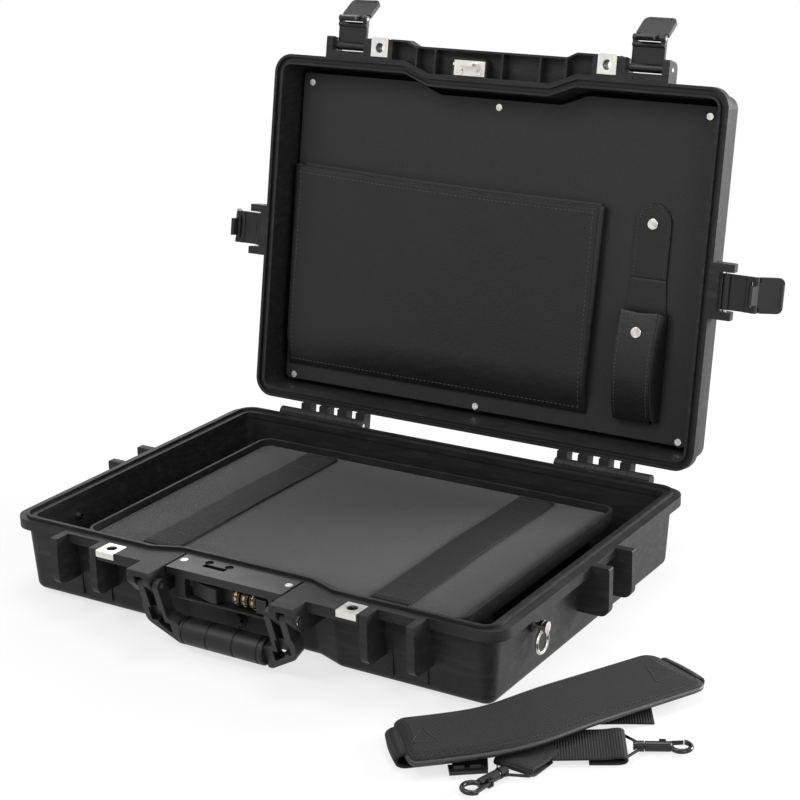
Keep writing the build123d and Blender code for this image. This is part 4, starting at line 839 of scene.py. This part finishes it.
class HARDCASE_OT_padding(bpy.types.Operator):
    """Build the foam padding and finish the tray"""

    bl_idname = "hardcase.padding"
    bl_label = "Build Padding"

    def execute(self, context):
        settings = context.scene.hard_case
        material = foam("case_foam", settings.foam_color)
        tray = pebbled_plastic("tray_plastic", settings.shell_color, 0.0011, 0.00012, 0.55)
        paint(tray, "laptop_tray")
        foam_slab("floor_foam", "floor_pad", 0.018, 0.0012, 0.004, material)
        lining = woven_nylon("tray_lining", settings.foam_color, 0.0016, 0.2)
        foam_slab("tray_lining_pad", "tray_pad", 0.011, 0.0006, 0.0026, lining)
        low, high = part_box("tray_blocks")
        left, right, front, rear = low[0], high[0] - BLOCK_SIZE, low[1], high[1] - BLOCK_SIZE
        for name, x0, y0 in (
            ("block_front_left", left, front), ("block_front_right", right, front),
            ("block_rear_left", left, rear), ("block_rear_right", right, rear),
        ):
            corners = ((x0, y0, low[2]), (x0 + BLOCK_SIZE, y0 + BLOCK_SIZE, high[2]))
            piece = slab_piece(name, corners, 0.004, 0.0, 0.0020, material)
            if name == "block_front_left":
                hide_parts("tray_blocks")
        return {"FINISHED"}


def rounded_plan(x0, x1, y0, y1, radius, per_corner=8, per_side=14):
    """A rounded rectangle in plan, as points going round."""
    outline = []
    centres = (
        (x1 - radius, y1 - radius, 0.0), (x0 + radius, y1 - radius, 0.5),
        (x0 + radius, y0 + radius, 1.0), (x1 - radius, y0 + radius, 1.5),
    )
    corners = []
    for cx, cy, start in centres:
        arc = []
        for step in range(per_corner + 1):
            turn = math.pi * (start + 0.5 * step / per_corner)
            arc.append(Vector((cx + radius * math.cos(turn), cy + radius * math.sin(turn))))
        corners.append(arc)
    for index, arc in enumerate(corners):
        outline.extend(arc)
        following = corners[(index + 1) % 4][0]
        for step in range(1, per_side):
            outline.append(arc[-1].lerp(following, step / per_side))
    return outline


def slab_piece(name, corners, radius, crown, edge, material):
    """A padded slab between two corners, with soft edges."""
    low, high = corners
    outline = rounded_plan(low[0], high[0], low[1], high[1], radius)
    rings = slab_rings(outline, low[2], high[2] - crown, crown, edge)
    count = len(outline)
    points = [point for ring in rings for point in ring]
    faces = grid_faces(count, len(rings), wrap=True)
    faces.append(tuple(range(count)))
    faces.append(tuple((len(rings) - 1) * count + index for index in range(count)))
    return mesh_piece(name, points, faces, "base", material)


def foam_slab(name, node, radius, crown, edge, material):
    """A foam slab that stands for a CAD node."""
    low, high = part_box(node)
    piece = slab_piece(name, (low, high), radius, crown, edge, material)
    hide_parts(node)


class HARDCASE_OT_tray_straps(bpy.types.Operator):
    """Build the two straps that hold the laptop in the tray"""

    bl_idname = "hardcase.tray_straps"
    bl_label = "Build Tray Straps"

    def execute(self, context):
        settings = context.scene.hard_case
        webbing = ribbed_webbing("tray_webbing", settings.webbing_color, 0.0024, "X")
        sewing = thread("tray_thread", settings.thread_color)
        low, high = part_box("tray_straps")
        width = TRAY_STRAP_WIDTH
        for side in (-1, 1):
            x = side * TRAY_STRAP_X
            route = []
            steps = 40
            for step in range(steps + 1):
                share = step / steps
                y = low[1] + 0.001 + (high[1] - low[1] - 0.002) * share
                wave = 0.0008 * math.sin(share * 17.0 + side) * math.sin(share * math.pi)
                drift = 0.0006 * math.sin(share * 9.0)
                route.append(Vector((x + drift, y, low[2] + 0.0010 + abs(wave) * 0.6)))
            name = "tray_strap_left" if side < 0 else "tray_strap_right"
            strap = swept(name, route, strap_section(width, 0.0018), "base", webbing)
            if side < 0:
                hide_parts("tray_straps")
            for end in (low[1] + 0.008, low[1] + 0.040, high[1] - 0.040, high[1] - 0.008):
                row = [Vector((x + width * part, end, high[2] + 0.0002)) for part in (-0.42, 0.42)]
                row_name = f"{name}_sewing_{round((end + 1) * 1000)}"
                stitches(row_name, row, UP, "base", sewing, 0.0026, 0.0036, 0.0003)
        return {"FINISHED"}


class HARDCASE_OT_panel(bpy.types.Operator):
    """Finish the sheet that closes the lid"""

    bl_idname = "hardcase.panel"
    bl_label = "Finish Panel"

    def execute(self, context):
        settings = context.scene.hard_case
        paint(panel_sheet("lid_panel_sheet", settings.panel_color), "lid_panel")
        return {"FINISHED"}


def pouch_rise(across, down):
    """How far the document pouch's front stands off the panel, by shares of its width and height."""
    fall = 1.0 - max(0.0, (down - 0.80) / 0.20) ** 2 * 0.80
    belly = 0.9 + 0.10 * math.sin(math.pi * across)
    wave = 0.0005 * math.sin(across * 11.0 + down * 3.0) + 0.0004 * math.sin(across * 23.0 - down * 7.0)
    return POUCH_DEPTH * fall * belly + wave * (1.0 - down)


def pouch_mouth(across):
    """The height of the pouch's mouth along its width, on the shut lid."""
    sag = 0.0022 * math.sin(math.pi * across)
    return POUCH_MOUTH_LEFT + (POUCH_MOUTH_RIGHT - POUCH_MOUTH_LEFT) * across + sag


class HARDCASE_OT_document_pouch(bpy.types.Operator):
    """Build the wide leather document pouch"""

    bl_idname = "hardcase.document_pouch"
    bl_label = "Build Document Pouch"

    def execute(self, context):
        settings = context.scene.hard_case
        hide = leather("pouch_leather", settings.leather_color)
        sewing = thread("pouch_thread", settings.thread_color)
        left, right, bottom = POUCH_LEFT + 0.001, POUCH_RIGHT - 0.002, POUCH_BOTTOM - 0.001

        def front(across, down):
            x = left + (right - left) * across
            top = pouch_mouth(across)
            return on_lid(x, top + (bottom - top) * down, pouch_rise(across, down))

        def back(across, down):
            x = left + (right - left) * across
            top = pouch_mouth(across) - 0.004
            return on_lid(x, top + (bottom - top) * down, 0.0013)

        piece = thick_sheet("document_pouch_front", front, 90, 60, 0.0014, "lid", hide)
        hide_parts("document_pouch")
        thick_sheet("document_pouch_back", back, 60, 20, 0.0012, "lid", hide)
        for name, share, out in (("left", 0.0, -1), ("right", 1.0, 1)):
            x = left if share == 0.0 else right

            def gusset(depth, down, x=x, share=share, out=out):
                top = pouch_mouth(share) - 0.0015
                rise = 0.0013 + (pouch_rise(share, down) - 0.0013) * depth
                pleat = 0.0050 * math.sin(math.pi * depth) * (1.0 - 0.75 * down)
                return on_lid(x + out * pleat, top + (bottom - top) * down, rise)

            gusset_name = f"document_pouch_gusset_{name}"
            thick_sheet(gusset_name, gusset, 12, 40, 0.0010, "lid", hide)
        normal = lid_normal()
        lift = 0.0008

        def on_front(across, down):
            return front(across, down) + normal * lift

        rim = [front(step / 90, 0.0) for step in range(91)]
        swept("document_pouch_rim", rim, round_section(0.00105), "lid", hide, up=normal)
        top_row = [on_front(0.012 + 0.976 * step / 90, 0.028) for step in range(91)]
        spacing = settings.stitch_spacing
        stitches("pouch_sewing_top", top_row, normal, "lid", sewing, spacing=spacing)
        for name, across in (("left", 0.014), ("right", 0.986)):
            row = [on_front(across, 0.03 + 0.94 * step / 60) for step in range(61)]
            sewn = f"pouch_sewing_{name}"
            stitches(sewn, row, normal, "lid", sewing, spacing=spacing)
        low_row = [on_front(0.012 + 0.976 * step / 90, 0.975) for step in range(91)]
        stitches("pouch_sewing_low", low_row, normal, "lid", sewing, spacing=spacing)
        return {"FINISHED"}


def pocket_rise(down):
    """How far the small pocket's front stands off the panel, by the share of its height."""
    mouth, belly, foot = 0.0136, 0.0212, 0.0105
    if down < 0.55:
        share = down / 0.55
        return mouth + (belly - mouth) * math.sin(share * math.pi / 2)
    share = (down - 0.55) / 0.45
    return belly - (belly - foot) * share ** 2


class HARDCASE_OT_small_pocket(bpy.types.Operator):
    """Build the small pocket beside the document pouch"""

    bl_idname = "hardcase.small_pocket"
    bl_label = "Build Small Pocket"

    def execute(self, context):
        settings = context.scene.hard_case
        hide = leather("pocket_leather", settings.leather_color, 0.42)
        sewing = thread("pocket_thread", settings.thread_color)
        left, right = POCKET_LEFT + 0.0005, POCKET_RIGHT - 0.0060
        top, bottom = POCKET_MOUTH, POCKET_BOTTOM

        def front(across, down):
            x = left + (right - left) * across
            crown = 0.0012 * math.sin(math.pi * across) * (0.3 + down * (1.0 - down) * 2.0)
            dip = 0.0016 * math.sin(math.pi * across) * (1.0 - down) ** 6
            return on_lid(x, top + dip + (bottom - top) * down, pocket_rise(down) + crown - 0.0008)

        piece = thick_sheet("small_pocket_front", front, 30, 50, 0.0015, "lid", hide)
        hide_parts("mouse_pocket")

        def back(across, down):
            start = FLAP_FOLD + 0.0005
            x = FLAP_LEFT + (FLAP_RIGHT - FLAP_LEFT) * across
            spread = min(1.0, down * 3.0)
            x = x + (across - 0.5) * 0.008 * spread
            return on_lid(x, start + (bottom + 0.0005 - start) * down, 0.0013)

        thick_sheet("small_pocket_back", back, 20, 40, 0.0015, "lid", hide)
        for name, edge, foot, out in (
            ("left", left, POCKET_LEFT - 0.0006, -1), ("right", right, POCKET_RIGHT, 1),
        ):

            def gusset(depth, down, edge=edge, foot=foot, out=out):
                rise = 0.0016 + (pocket_rise(down) - 0.0024) * depth
                pleat = 0.0028 * math.sin(math.pi * depth) * (1.0 - 0.6 * down)
                x = foot + (edge - foot) * depth + out * pleat
                y = top + 0.002 * math.sin(math.pi * depth) + (bottom - top - 0.002) * down
                return on_lid(x, y, rise)

            thick_sheet(f"small_pocket_gusset_{name}", gusset, 12, 40, 0.0011, "lid", hide)

        def foot_sheet(across, depth):
            x = left + (right - left) * across
            rise = 0.0016 + (pocket_rise(1.0) - 0.0020) * depth
            return on_lid(x, bottom + 0.0014 * math.sin(math.pi * depth), rise)

        thick_sheet("small_pocket_foot", foot_sheet, 16, 8, 0.0011, "lid", hide)
        normal = lid_normal()
        lift = 0.0009

        def on_front(across, down):
            return front(across, down) + normal * lift

        rows = {
            "mouth": [on_front(0.07 + 0.86 * step / 20, 0.03) for step in range(21)],
            "left": [on_front(0.07, 0.03 + 0.94 * step / 50) for step in range(51)],
            "right": [on_front(0.93, 0.03 + 0.94 * step / 50) for step in range(51)],
        }
        for name, row in rows.items():
            stitches(
                f"pocket_sewing_{name}", row, normal, "lid", sewing,
                0.0024, settings.stitch_spacing * 0.8, 0.00034,
            )
        steel = polished_metal("snap_steel", settings.steel_color, 0.2)
        paint(steel, "pocket_snap", "flap_snap")
        return {"FINISHED"}


def flap_half_width(down):
    """Half the flap's width by the share of the way down from its round top."""
    half = (FLAP_RIGHT - FLAP_LEFT) / 2
    height = FLAP_FOLD - FLAP_TOP
    along = down * height
    if along < half:
        return math.sqrt(max(half ** 2 - (half - along) ** 2, 0.0))
    return half


class HARDCASE_OT_flap(bpy.types.Operator):
    """Build the stitched flap of the small pocket"""

    bl_idname = "hardcase.flap"
    bl_label = "Build Flap"

    def execute(self, context):
        settings = context.scene.hard_case
        hide = leather("flap_leather", settings.leather_color, 0.4)
        sewing = thread("flap_thread", settings.thread_color)
        middle = (FLAP_LEFT + FLAP_RIGHT) / 2
        height = FLAP_FOLD - FLAP_TOP

        def face(across, down, rise):
            share = 0.004 + 0.996 * down ** 1.6
            x = middle + (across * 2.0 - 1.0) * flap_half_width(share) * 0.995
            return on_lid(x, FLAP_TOP + height * share, rise)

        def sheet(across, down):
            edge = min(across, 1.0 - across) * 2.0
            crown = 0.0002 * min(1.0, edge * 4.0)
            return face(across, down, 0.0014 + crown)

        piece = thick_sheet("flap_leather_sheet", sheet, 30, 50, 0.0019, "flap", hide)
        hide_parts("pouch_flap")
        normal = lid_normal()
        inset = 0.0030
        half = (FLAP_RIGHT - FLAP_LEFT) / 2 - inset
        row = [on_lid(middle - half, FLAP_FOLD - 0.003, 0.0026)]
        centre_y = FLAP_TOP + inset + half
        for step in range(25):
            turn = math.pi * step / 24
            row.append(on_lid(middle - half * math.cos(turn), centre_y - half * math.sin(turn), 0.0026))
        row.append(on_lid(middle + half, FLAP_FOLD - 0.003, 0.0026))
        stitches("flap_sewing", row, normal, "flap", sewing, 0.0022, 0.0034, 0.0003)
        return {"FINISHED"}


def pad_frame(share):
    """The shoulder pad's middle point, heading and sideways direction at a share of its length."""
    line = smooth_route([(x, y, 0.0) for x, y in PAD_LINE], 24)
    place = share * (len(line) - 1)
    index = min(int(place), len(line) - 2)
    point = line[index].lerp(line[index + 1], place - index)
    along = (line[index + 1] - line[index]).normalized()
    return point, along, Vector((along.y, -along.x, 0.0))


def pad_outline(inset, count_side=60, count_corner=10):
    """Points round the shoulder pad, inset from its edge, in (share of length, offset) form."""
    corner = PAD_CORNER - inset
    half = PAD_HALF_WIDTH - inset
    end = inset / PAD_LENGTH
    corner_share = corner / PAD_LENGTH
    straight = 1 - 2 * end - 2 * corner_share
    outline = []
    for far in (0, 1):
        for step in range(count_side):
            share = end + corner_share + straight * step / count_side
            outline.append((abs(far - share), half * (1 - 2 * far)))
        for step in range(count_corner):
            turn = math.pi / 2 * step / count_corner
            share = 1 - end - corner_share * (1 - math.sin(turn))
            outline.append((abs(far - share), (half - corner * (1 - math.cos(turn))) * (1 - 2 * far)))
        for step in range(8):
            outline.append((abs(far - (1 - end)), (half - corner) * (1 - 2 * step / 8) * (1 - 2 * far)))
        for step in range(count_corner):
            turn = math.pi / 2 * step / count_corner
            share = 1 - end - corner_share * (1 - math.cos(turn))
            outline.append((abs(far - share), -(half - corner * (1 - math.sin(turn))) * (1 - 2 * far)))
    return outline


def pad_lift(share):
    """The gentle rise and dip of the pad along its length."""
    return 0.0016 * math.sin(share * math.pi) - 0.0010 * math.cos(share * 2.0 * math.pi)


def on_pad(share, offset, height):
    """A point of the shoulder pad from a share of its length, an offset and a height."""
    point, _, side = pad_frame(share)
    return point + side * offset + UP * (height + pad_lift(share))


class HARDCASE_OT_shoulder_pad(bpy.types.Operator):
    """Build the padded part of the shoulder strap"""

    bl_idname = "hardcase.shoulder_pad"
    bl_label = "Build Shoulder Pad"

    def execute(self, context):
        settings = context.scene.hard_case
        cloth = woven_nylon("pad_cloth", settings.webbing_color, 0.0022)
        binding = piping_cloth("pad_binding", settings.webbing_color)
        sewing = thread("pad_thread", shade(settings.thread_color, 0.35))
        base, top = PAD_BASE, PAD_TOP
        rings = []
        for inset, height in (
            (0.010, base + 0.0004), (0.0032, base + 0.0006), (0.0010, base + 0.0024),
            (0.0004, base + 0.0052), (0.0012, base + 0.0078), (0.0040, top - 0.0014),
            (0.0052, top - 0.0016), (0.0070, top - 0.0006),
            (0.012, top - 0.0001), (0.018, top + 0.0001), (0.024, top + 0.0002), (0.030, top + 0.0003),
            (PAD_HALF_WIDTH, top + 0.0003),
        ):
            corner_inset = min(inset, PAD_CORNER - 0.0005)
            ring = []
            for share, offset in pad_outline(corner_inset):
                squeeze = (PAD_HALF_WIDTH - inset) / (PAD_HALF_WIDTH - corner_inset)
                ring.append(on_pad(share, offset * squeeze, height))
            rings.append(ring)
        count = len(rings[0])
        points = [point for ring in rings for point in ring]
        faces = grid_faces(count, len(rings), wrap=True)
        faces.append(tuple(range(count)))
        piece = mesh_piece("shoulder_pad_cloth", points, faces, "strap", cloth)
        weld(piece.data, 0.0002)
        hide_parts("strap_pad")
        edge = [on_pad(share, offset, base + 0.0052) for share, offset in pad_outline(0.0004)]
        section = round_section(0.0021)
        swept("shoulder_pad_binding", edge, section, "strap", binding, closed=True)
        row = [on_pad(share, offset, top - 0.0013) for share, offset in pad_outline(0.0050)]
        row.append(row[0])
        stitches("shoulder_pad_sewing", row, UP, "strap", sewing, 0.0024, 0.0036, 0.0003)
        for name, shares in (("left", (0.045, 0.135, 0.100)), ("right", (0.955, 0.865, 0.900))):
            corners = [(shares[0], 0.012), (shares[1], 0.014), (shares[2], -0.012), (shares[0], 0.012)]
            mark = []
            for (s0, o0), (s1, o1) in zip(corners, corners[1:]):
                for step in range(12):
                    t = step / 12
                    mark.append(on_pad(s0 + (s1 - s0) * t, o0 + (o1 - o0) * t, top + 0.0003))
            mark.append(mark[0])
            stitches(
                f"shoulder_pad_triangle_{name}", mark, UP, "strap", sewing,
                0.0022, 0.0029, 0.00036,
            )
        return {"FINISHED"}


def weld(mesh, distance):
    """Joins a mesh's points that lie within a distance, where a ring has folded to a line."""
    work = bmesh.new()
    work.from_mesh(mesh)
    bmesh.ops.remove_doubles(work, verts=work.verts, dist=distance)
    bmesh.ops.recalc_face_normals(work, faces=work.faces)
    for face in work.faces:
        face.smooth = True
    work.to_mesh(mesh)
    work.free()


def wrapped_end(bar, heading, start):
    """A webbing's route from its start to a loop's bar, over the bar and back underneath."""
    ahead = Vector((math.cos(heading), math.sin(heading), 0.0))
    route = [Vector(start)]
    for along, height in (
        (-0.016, 0.0058), (-0.004, 0.0071), (0.0012, 0.0070), (0.0034, 0.0046), (0.0010, 0.0022),
        (-0.006, 0.0014), (-0.026, 0.0013),
    ):
        route.append(Vector((*bar, 0.0)) + ahead * along + UP * height)
    return route


def turned_end(name, share, outward, width, cloth):
    """The webbing's turn round one end of the pad: out from below, up and in at the pad's edge."""
    end, along, side = pad_frame(share)
    out = along * outward
    reach, low, high = 0.0085, WEBBING_FLOOR, 0.0128
    profile = [(-0.030, low), (-0.015, low)]
    for step in range(15):
        turn = math.pi * (step / 14 - 0.5)
        profile.append((reach * math.cos(turn), (low + high) / 2 + (high - low) / 2 * math.sin(turn)))
    points = []
    columns = 9
    for distance, height in profile:
        for column in range(columns):
            place = column / (columns - 1) - 0.5
            bow = 0.0012 * math.cos(place * math.pi)
            points.append(end + out * (distance + bow) + side * place * width + UP * height)
    faces = grid_faces(columns, len(profile))
    piece = mesh_piece(name, points, faces, "strap", cloth)
    skin = piece.modifiers.new("Thickness", "SOLIDIFY")
    skin.thickness = WEBBING_THICKNESS
    skin.offset = 0.0


class HARDCASE_OT_webbing(bpy.types.Operator):
    """Build the shoulder strap's webbing"""

    bl_idname = "hardcase.webbing"
    bl_label = "Build Webbing"

    def execute(self, context):
        settings = context.scene.hard_case
        color = settings.webbing_color
        pitch = WEBBING_RIB_PITCH
        cloth = ribbed_webbing("webbing_run_cloth", color, pitch, "Y", math.radians(-62.0))
        route = smooth_route([(x, y, WEBBING_FLOOR) for x, y in PAD_LINE], 20)
        section = strap_section(RUN_WIDTH, WEBBING_THICKNESS)
        run = swept("webbing_run", route, section, "strap", cloth)
        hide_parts("strap_webbing")
        for name, width, bar, start in HOOK_ENDS:
            towards = math.atan2(bar[1] - start[1], bar[0] - start[0])
            cloth = ribbed_webbing(f"webbing_hook_end_{name}_cloth", color, pitch, "X", -towards)
            route = smooth_route(wrapped_end(bar, towards, start), 8)
            section = strap_section(width, WEBBING_THICKNESS)
            swept(f"webbing_hook_end_{name}", route, section, "strap", cloth)
        section = strap_section(SPARE_WIDTH, WEBBING_THICKNESS)
        for name, start, end in SPARE_ENDS:
            towards = math.atan2(end[1] - start[1], end[0] - start[0])
            cloth = ribbed_webbing(f"{name}_cloth", color, pitch, "X", -towards)
            middle = (Vector(start) + Vector(end)) / 2 + UP * 0.0003
            route = smooth_route((start, middle, end), 10)
            swept(name, route, section, "strap", cloth)
        cloth = ribbed_webbing("webbing_turn_cloth", color, pitch, "Z")
        turned_end("webbing_turn_left", 0.0, -1.0, TURN_WIDTH, cloth)
        turned_end("webbing_turn_right", 1.0, 1.0, TURN_WIDTH, cloth)
        return {"FINISHED"}


class HARDCASE_OT_strap_hardware(bpy.types.Operator):
    """Finish the strap's buckle, loops and snap hooks"""

    bl_idname = "hardcase.strap_hardware"
    bl_label = "Finish Strap Hardware"

    def execute(self, context):
        metal = black_metal("strap_black_metal", (0.010, 0.010, 0.011))
        paint(metal, "strap_buckle", "swivel_loop_1", "swivel_loop_2")
        paint(metal, "snap_hook_1", "snap_hook_2", "hook_gate_1", "hook_gate_2")
        return {"FINISHED"}


class HARDCASE_OT_stage(bpy.types.Operator):
    """Build the floor, the lights and the camera"""

    bl_idname = "hardcase.stage"
    bl_label = "Build Studio"

    def execute(self, context):
        settings = context.scene.hard_case
        floor_mesh = bpy.data.meshes.new("studio_floor")
        reach = 12.0
        depth = -0.0002
        corners = [(x * reach, y * reach, depth) for x, y in ((-1, -1), (1, -1), (1, 1), (-1, 1))]
        floor_mesh.from_pydata(corners, [], [(0, 1, 2, 3)])
        floor = bpy.data.objects.new("studio_floor", floor_mesh)
        floor.data.materials.append(studio_floor("studio_floor_paint", settings.floor_color))
        context.scene.collection.objects.link(floor)
        context.scene.world = studio_world("studio_world", settings.ambient)
        for name, (place, target, size, power) in LIGHTS.items():
            area_light(name, place, target, size, power)
        place_camera(context.scene, settings.lens)
        context.scene.view_settings.view_transform = "Standard"
        return {"FINISHED"}


def area_light(name, place, target, size, power):
    """A square soft light that points at a target."""
    lamp = bpy.data.lights.new(name, "AREA")
    lamp.size = size
    lamp.energy = power
    light = bpy.data.objects.new(name, lamp)
    light.location = place
    heading = Vector(target) - Vector(place)
    light.rotation_euler = heading.to_track_quat("-Z", "Y").to_euler()
    bpy.context.scene.collection.objects.link(light)


def place_camera(scene, lens):
    """The camera, from its place and its azimuth, elevation and roll."""
    azimuth, elevation, roll = (math.radians(angle) for angle in CAMERA_ANGLES)
    back = Vector((
        math.sin(azimuth) * math.cos(elevation), -math.cos(azimuth) * math.cos(elevation),
        math.sin(elevation),
    ))
    level = UP.cross(back).normalized()
    upright = back.cross(level)
    right = level * math.cos(roll) + upright * math.sin(roll)
    up = -level * math.sin(roll) + upright * math.cos(roll)
    data = bpy.data.cameras.new("studio_camera")
    data.lens = lens
    data.sensor_width = 36.0
    data.shift_x, data.shift_y = CAMERA_SHIFT
    data.clip_start = 0.05
    data.clip_end = 50.0
    camera = bpy.data.objects.new("studio_camera", data)
    turn = Matrix((right, up, back)).transposed().to_4x4()
    camera.matrix_world = Matrix.Translation(CAMERA_PLACE) @ turn
    scene.collection.objects.link(camera)
    scene.camera = camera


OPERATORS = (
    HARDCASE_OT_stage, HARDCASE_OT_shells, HARDCASE_OT_lock, HARDCASE_OT_latches,
    HARDCASE_OT_handle, HARDCASE_OT_metalwork, HARDCASE_OT_padding, HARDCASE_OT_tray_straps,
    HARDCASE_OT_panel, HARDCASE_OT_document_pouch, HARDCASE_OT_small_pocket, HARDCASE_OT_flap,
    HARDCASE_OT_shoulder_pad, HARDCASE_OT_webbing, HARDCASE_OT_strap_hardware,
)


class HARDCASE_PT_panel(bpy.types.Panel):
    """The sidebar panel with the case's settings and steps"""

    bl_idname = "HARDCASE_PT_panel"
    bl_label = "Laptop Hard Case"
    bl_space_type = "VIEW_3D"
    bl_region_type = "UI"
    bl_category = "Hard Case"

    def draw(self, context):
        settings = context.scene.hard_case
        for key in HardCaseSettings.__annotations__:
            self.layout.prop(settings, key)
        for operator in OPERATORS:
            self.layout.operator(operator.bl_idname)


CLASSES = (HardCaseSettings, *OPERATORS, HARDCASE_PT_panel)


def register():
    """Registers the classes and the scene's settings."""
    for kind in CLASSES:
        bpy.utils.register_class(kind)
    bpy.types.Scene.hard_case = bpy.props.PointerProperty(type=HardCaseSettings)


def unregister():
    """Takes the settings and the classes away again."""
    del bpy.types.Scene.hard_case
    for kind in reversed(CLASSES):
        bpy.utils.unregister_class(kind)


def run_step(operator):
    """Calls one operator and stops if it couldn't finish."""
    group, step = operator.bl_idname.split(".")
    if getattr(getattr(bpy.ops, group), step)() != {"FINISHED"}:
        raise RuntimeError(f"{operator.bl_idname} didn't finish")


def main():
    """Registers the add-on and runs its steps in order."""
    register()
    for operator in OPERATORS:
        run_step(operator)
    bpy.context.view_layer.update()


if __name__ == "__main__":
    main()
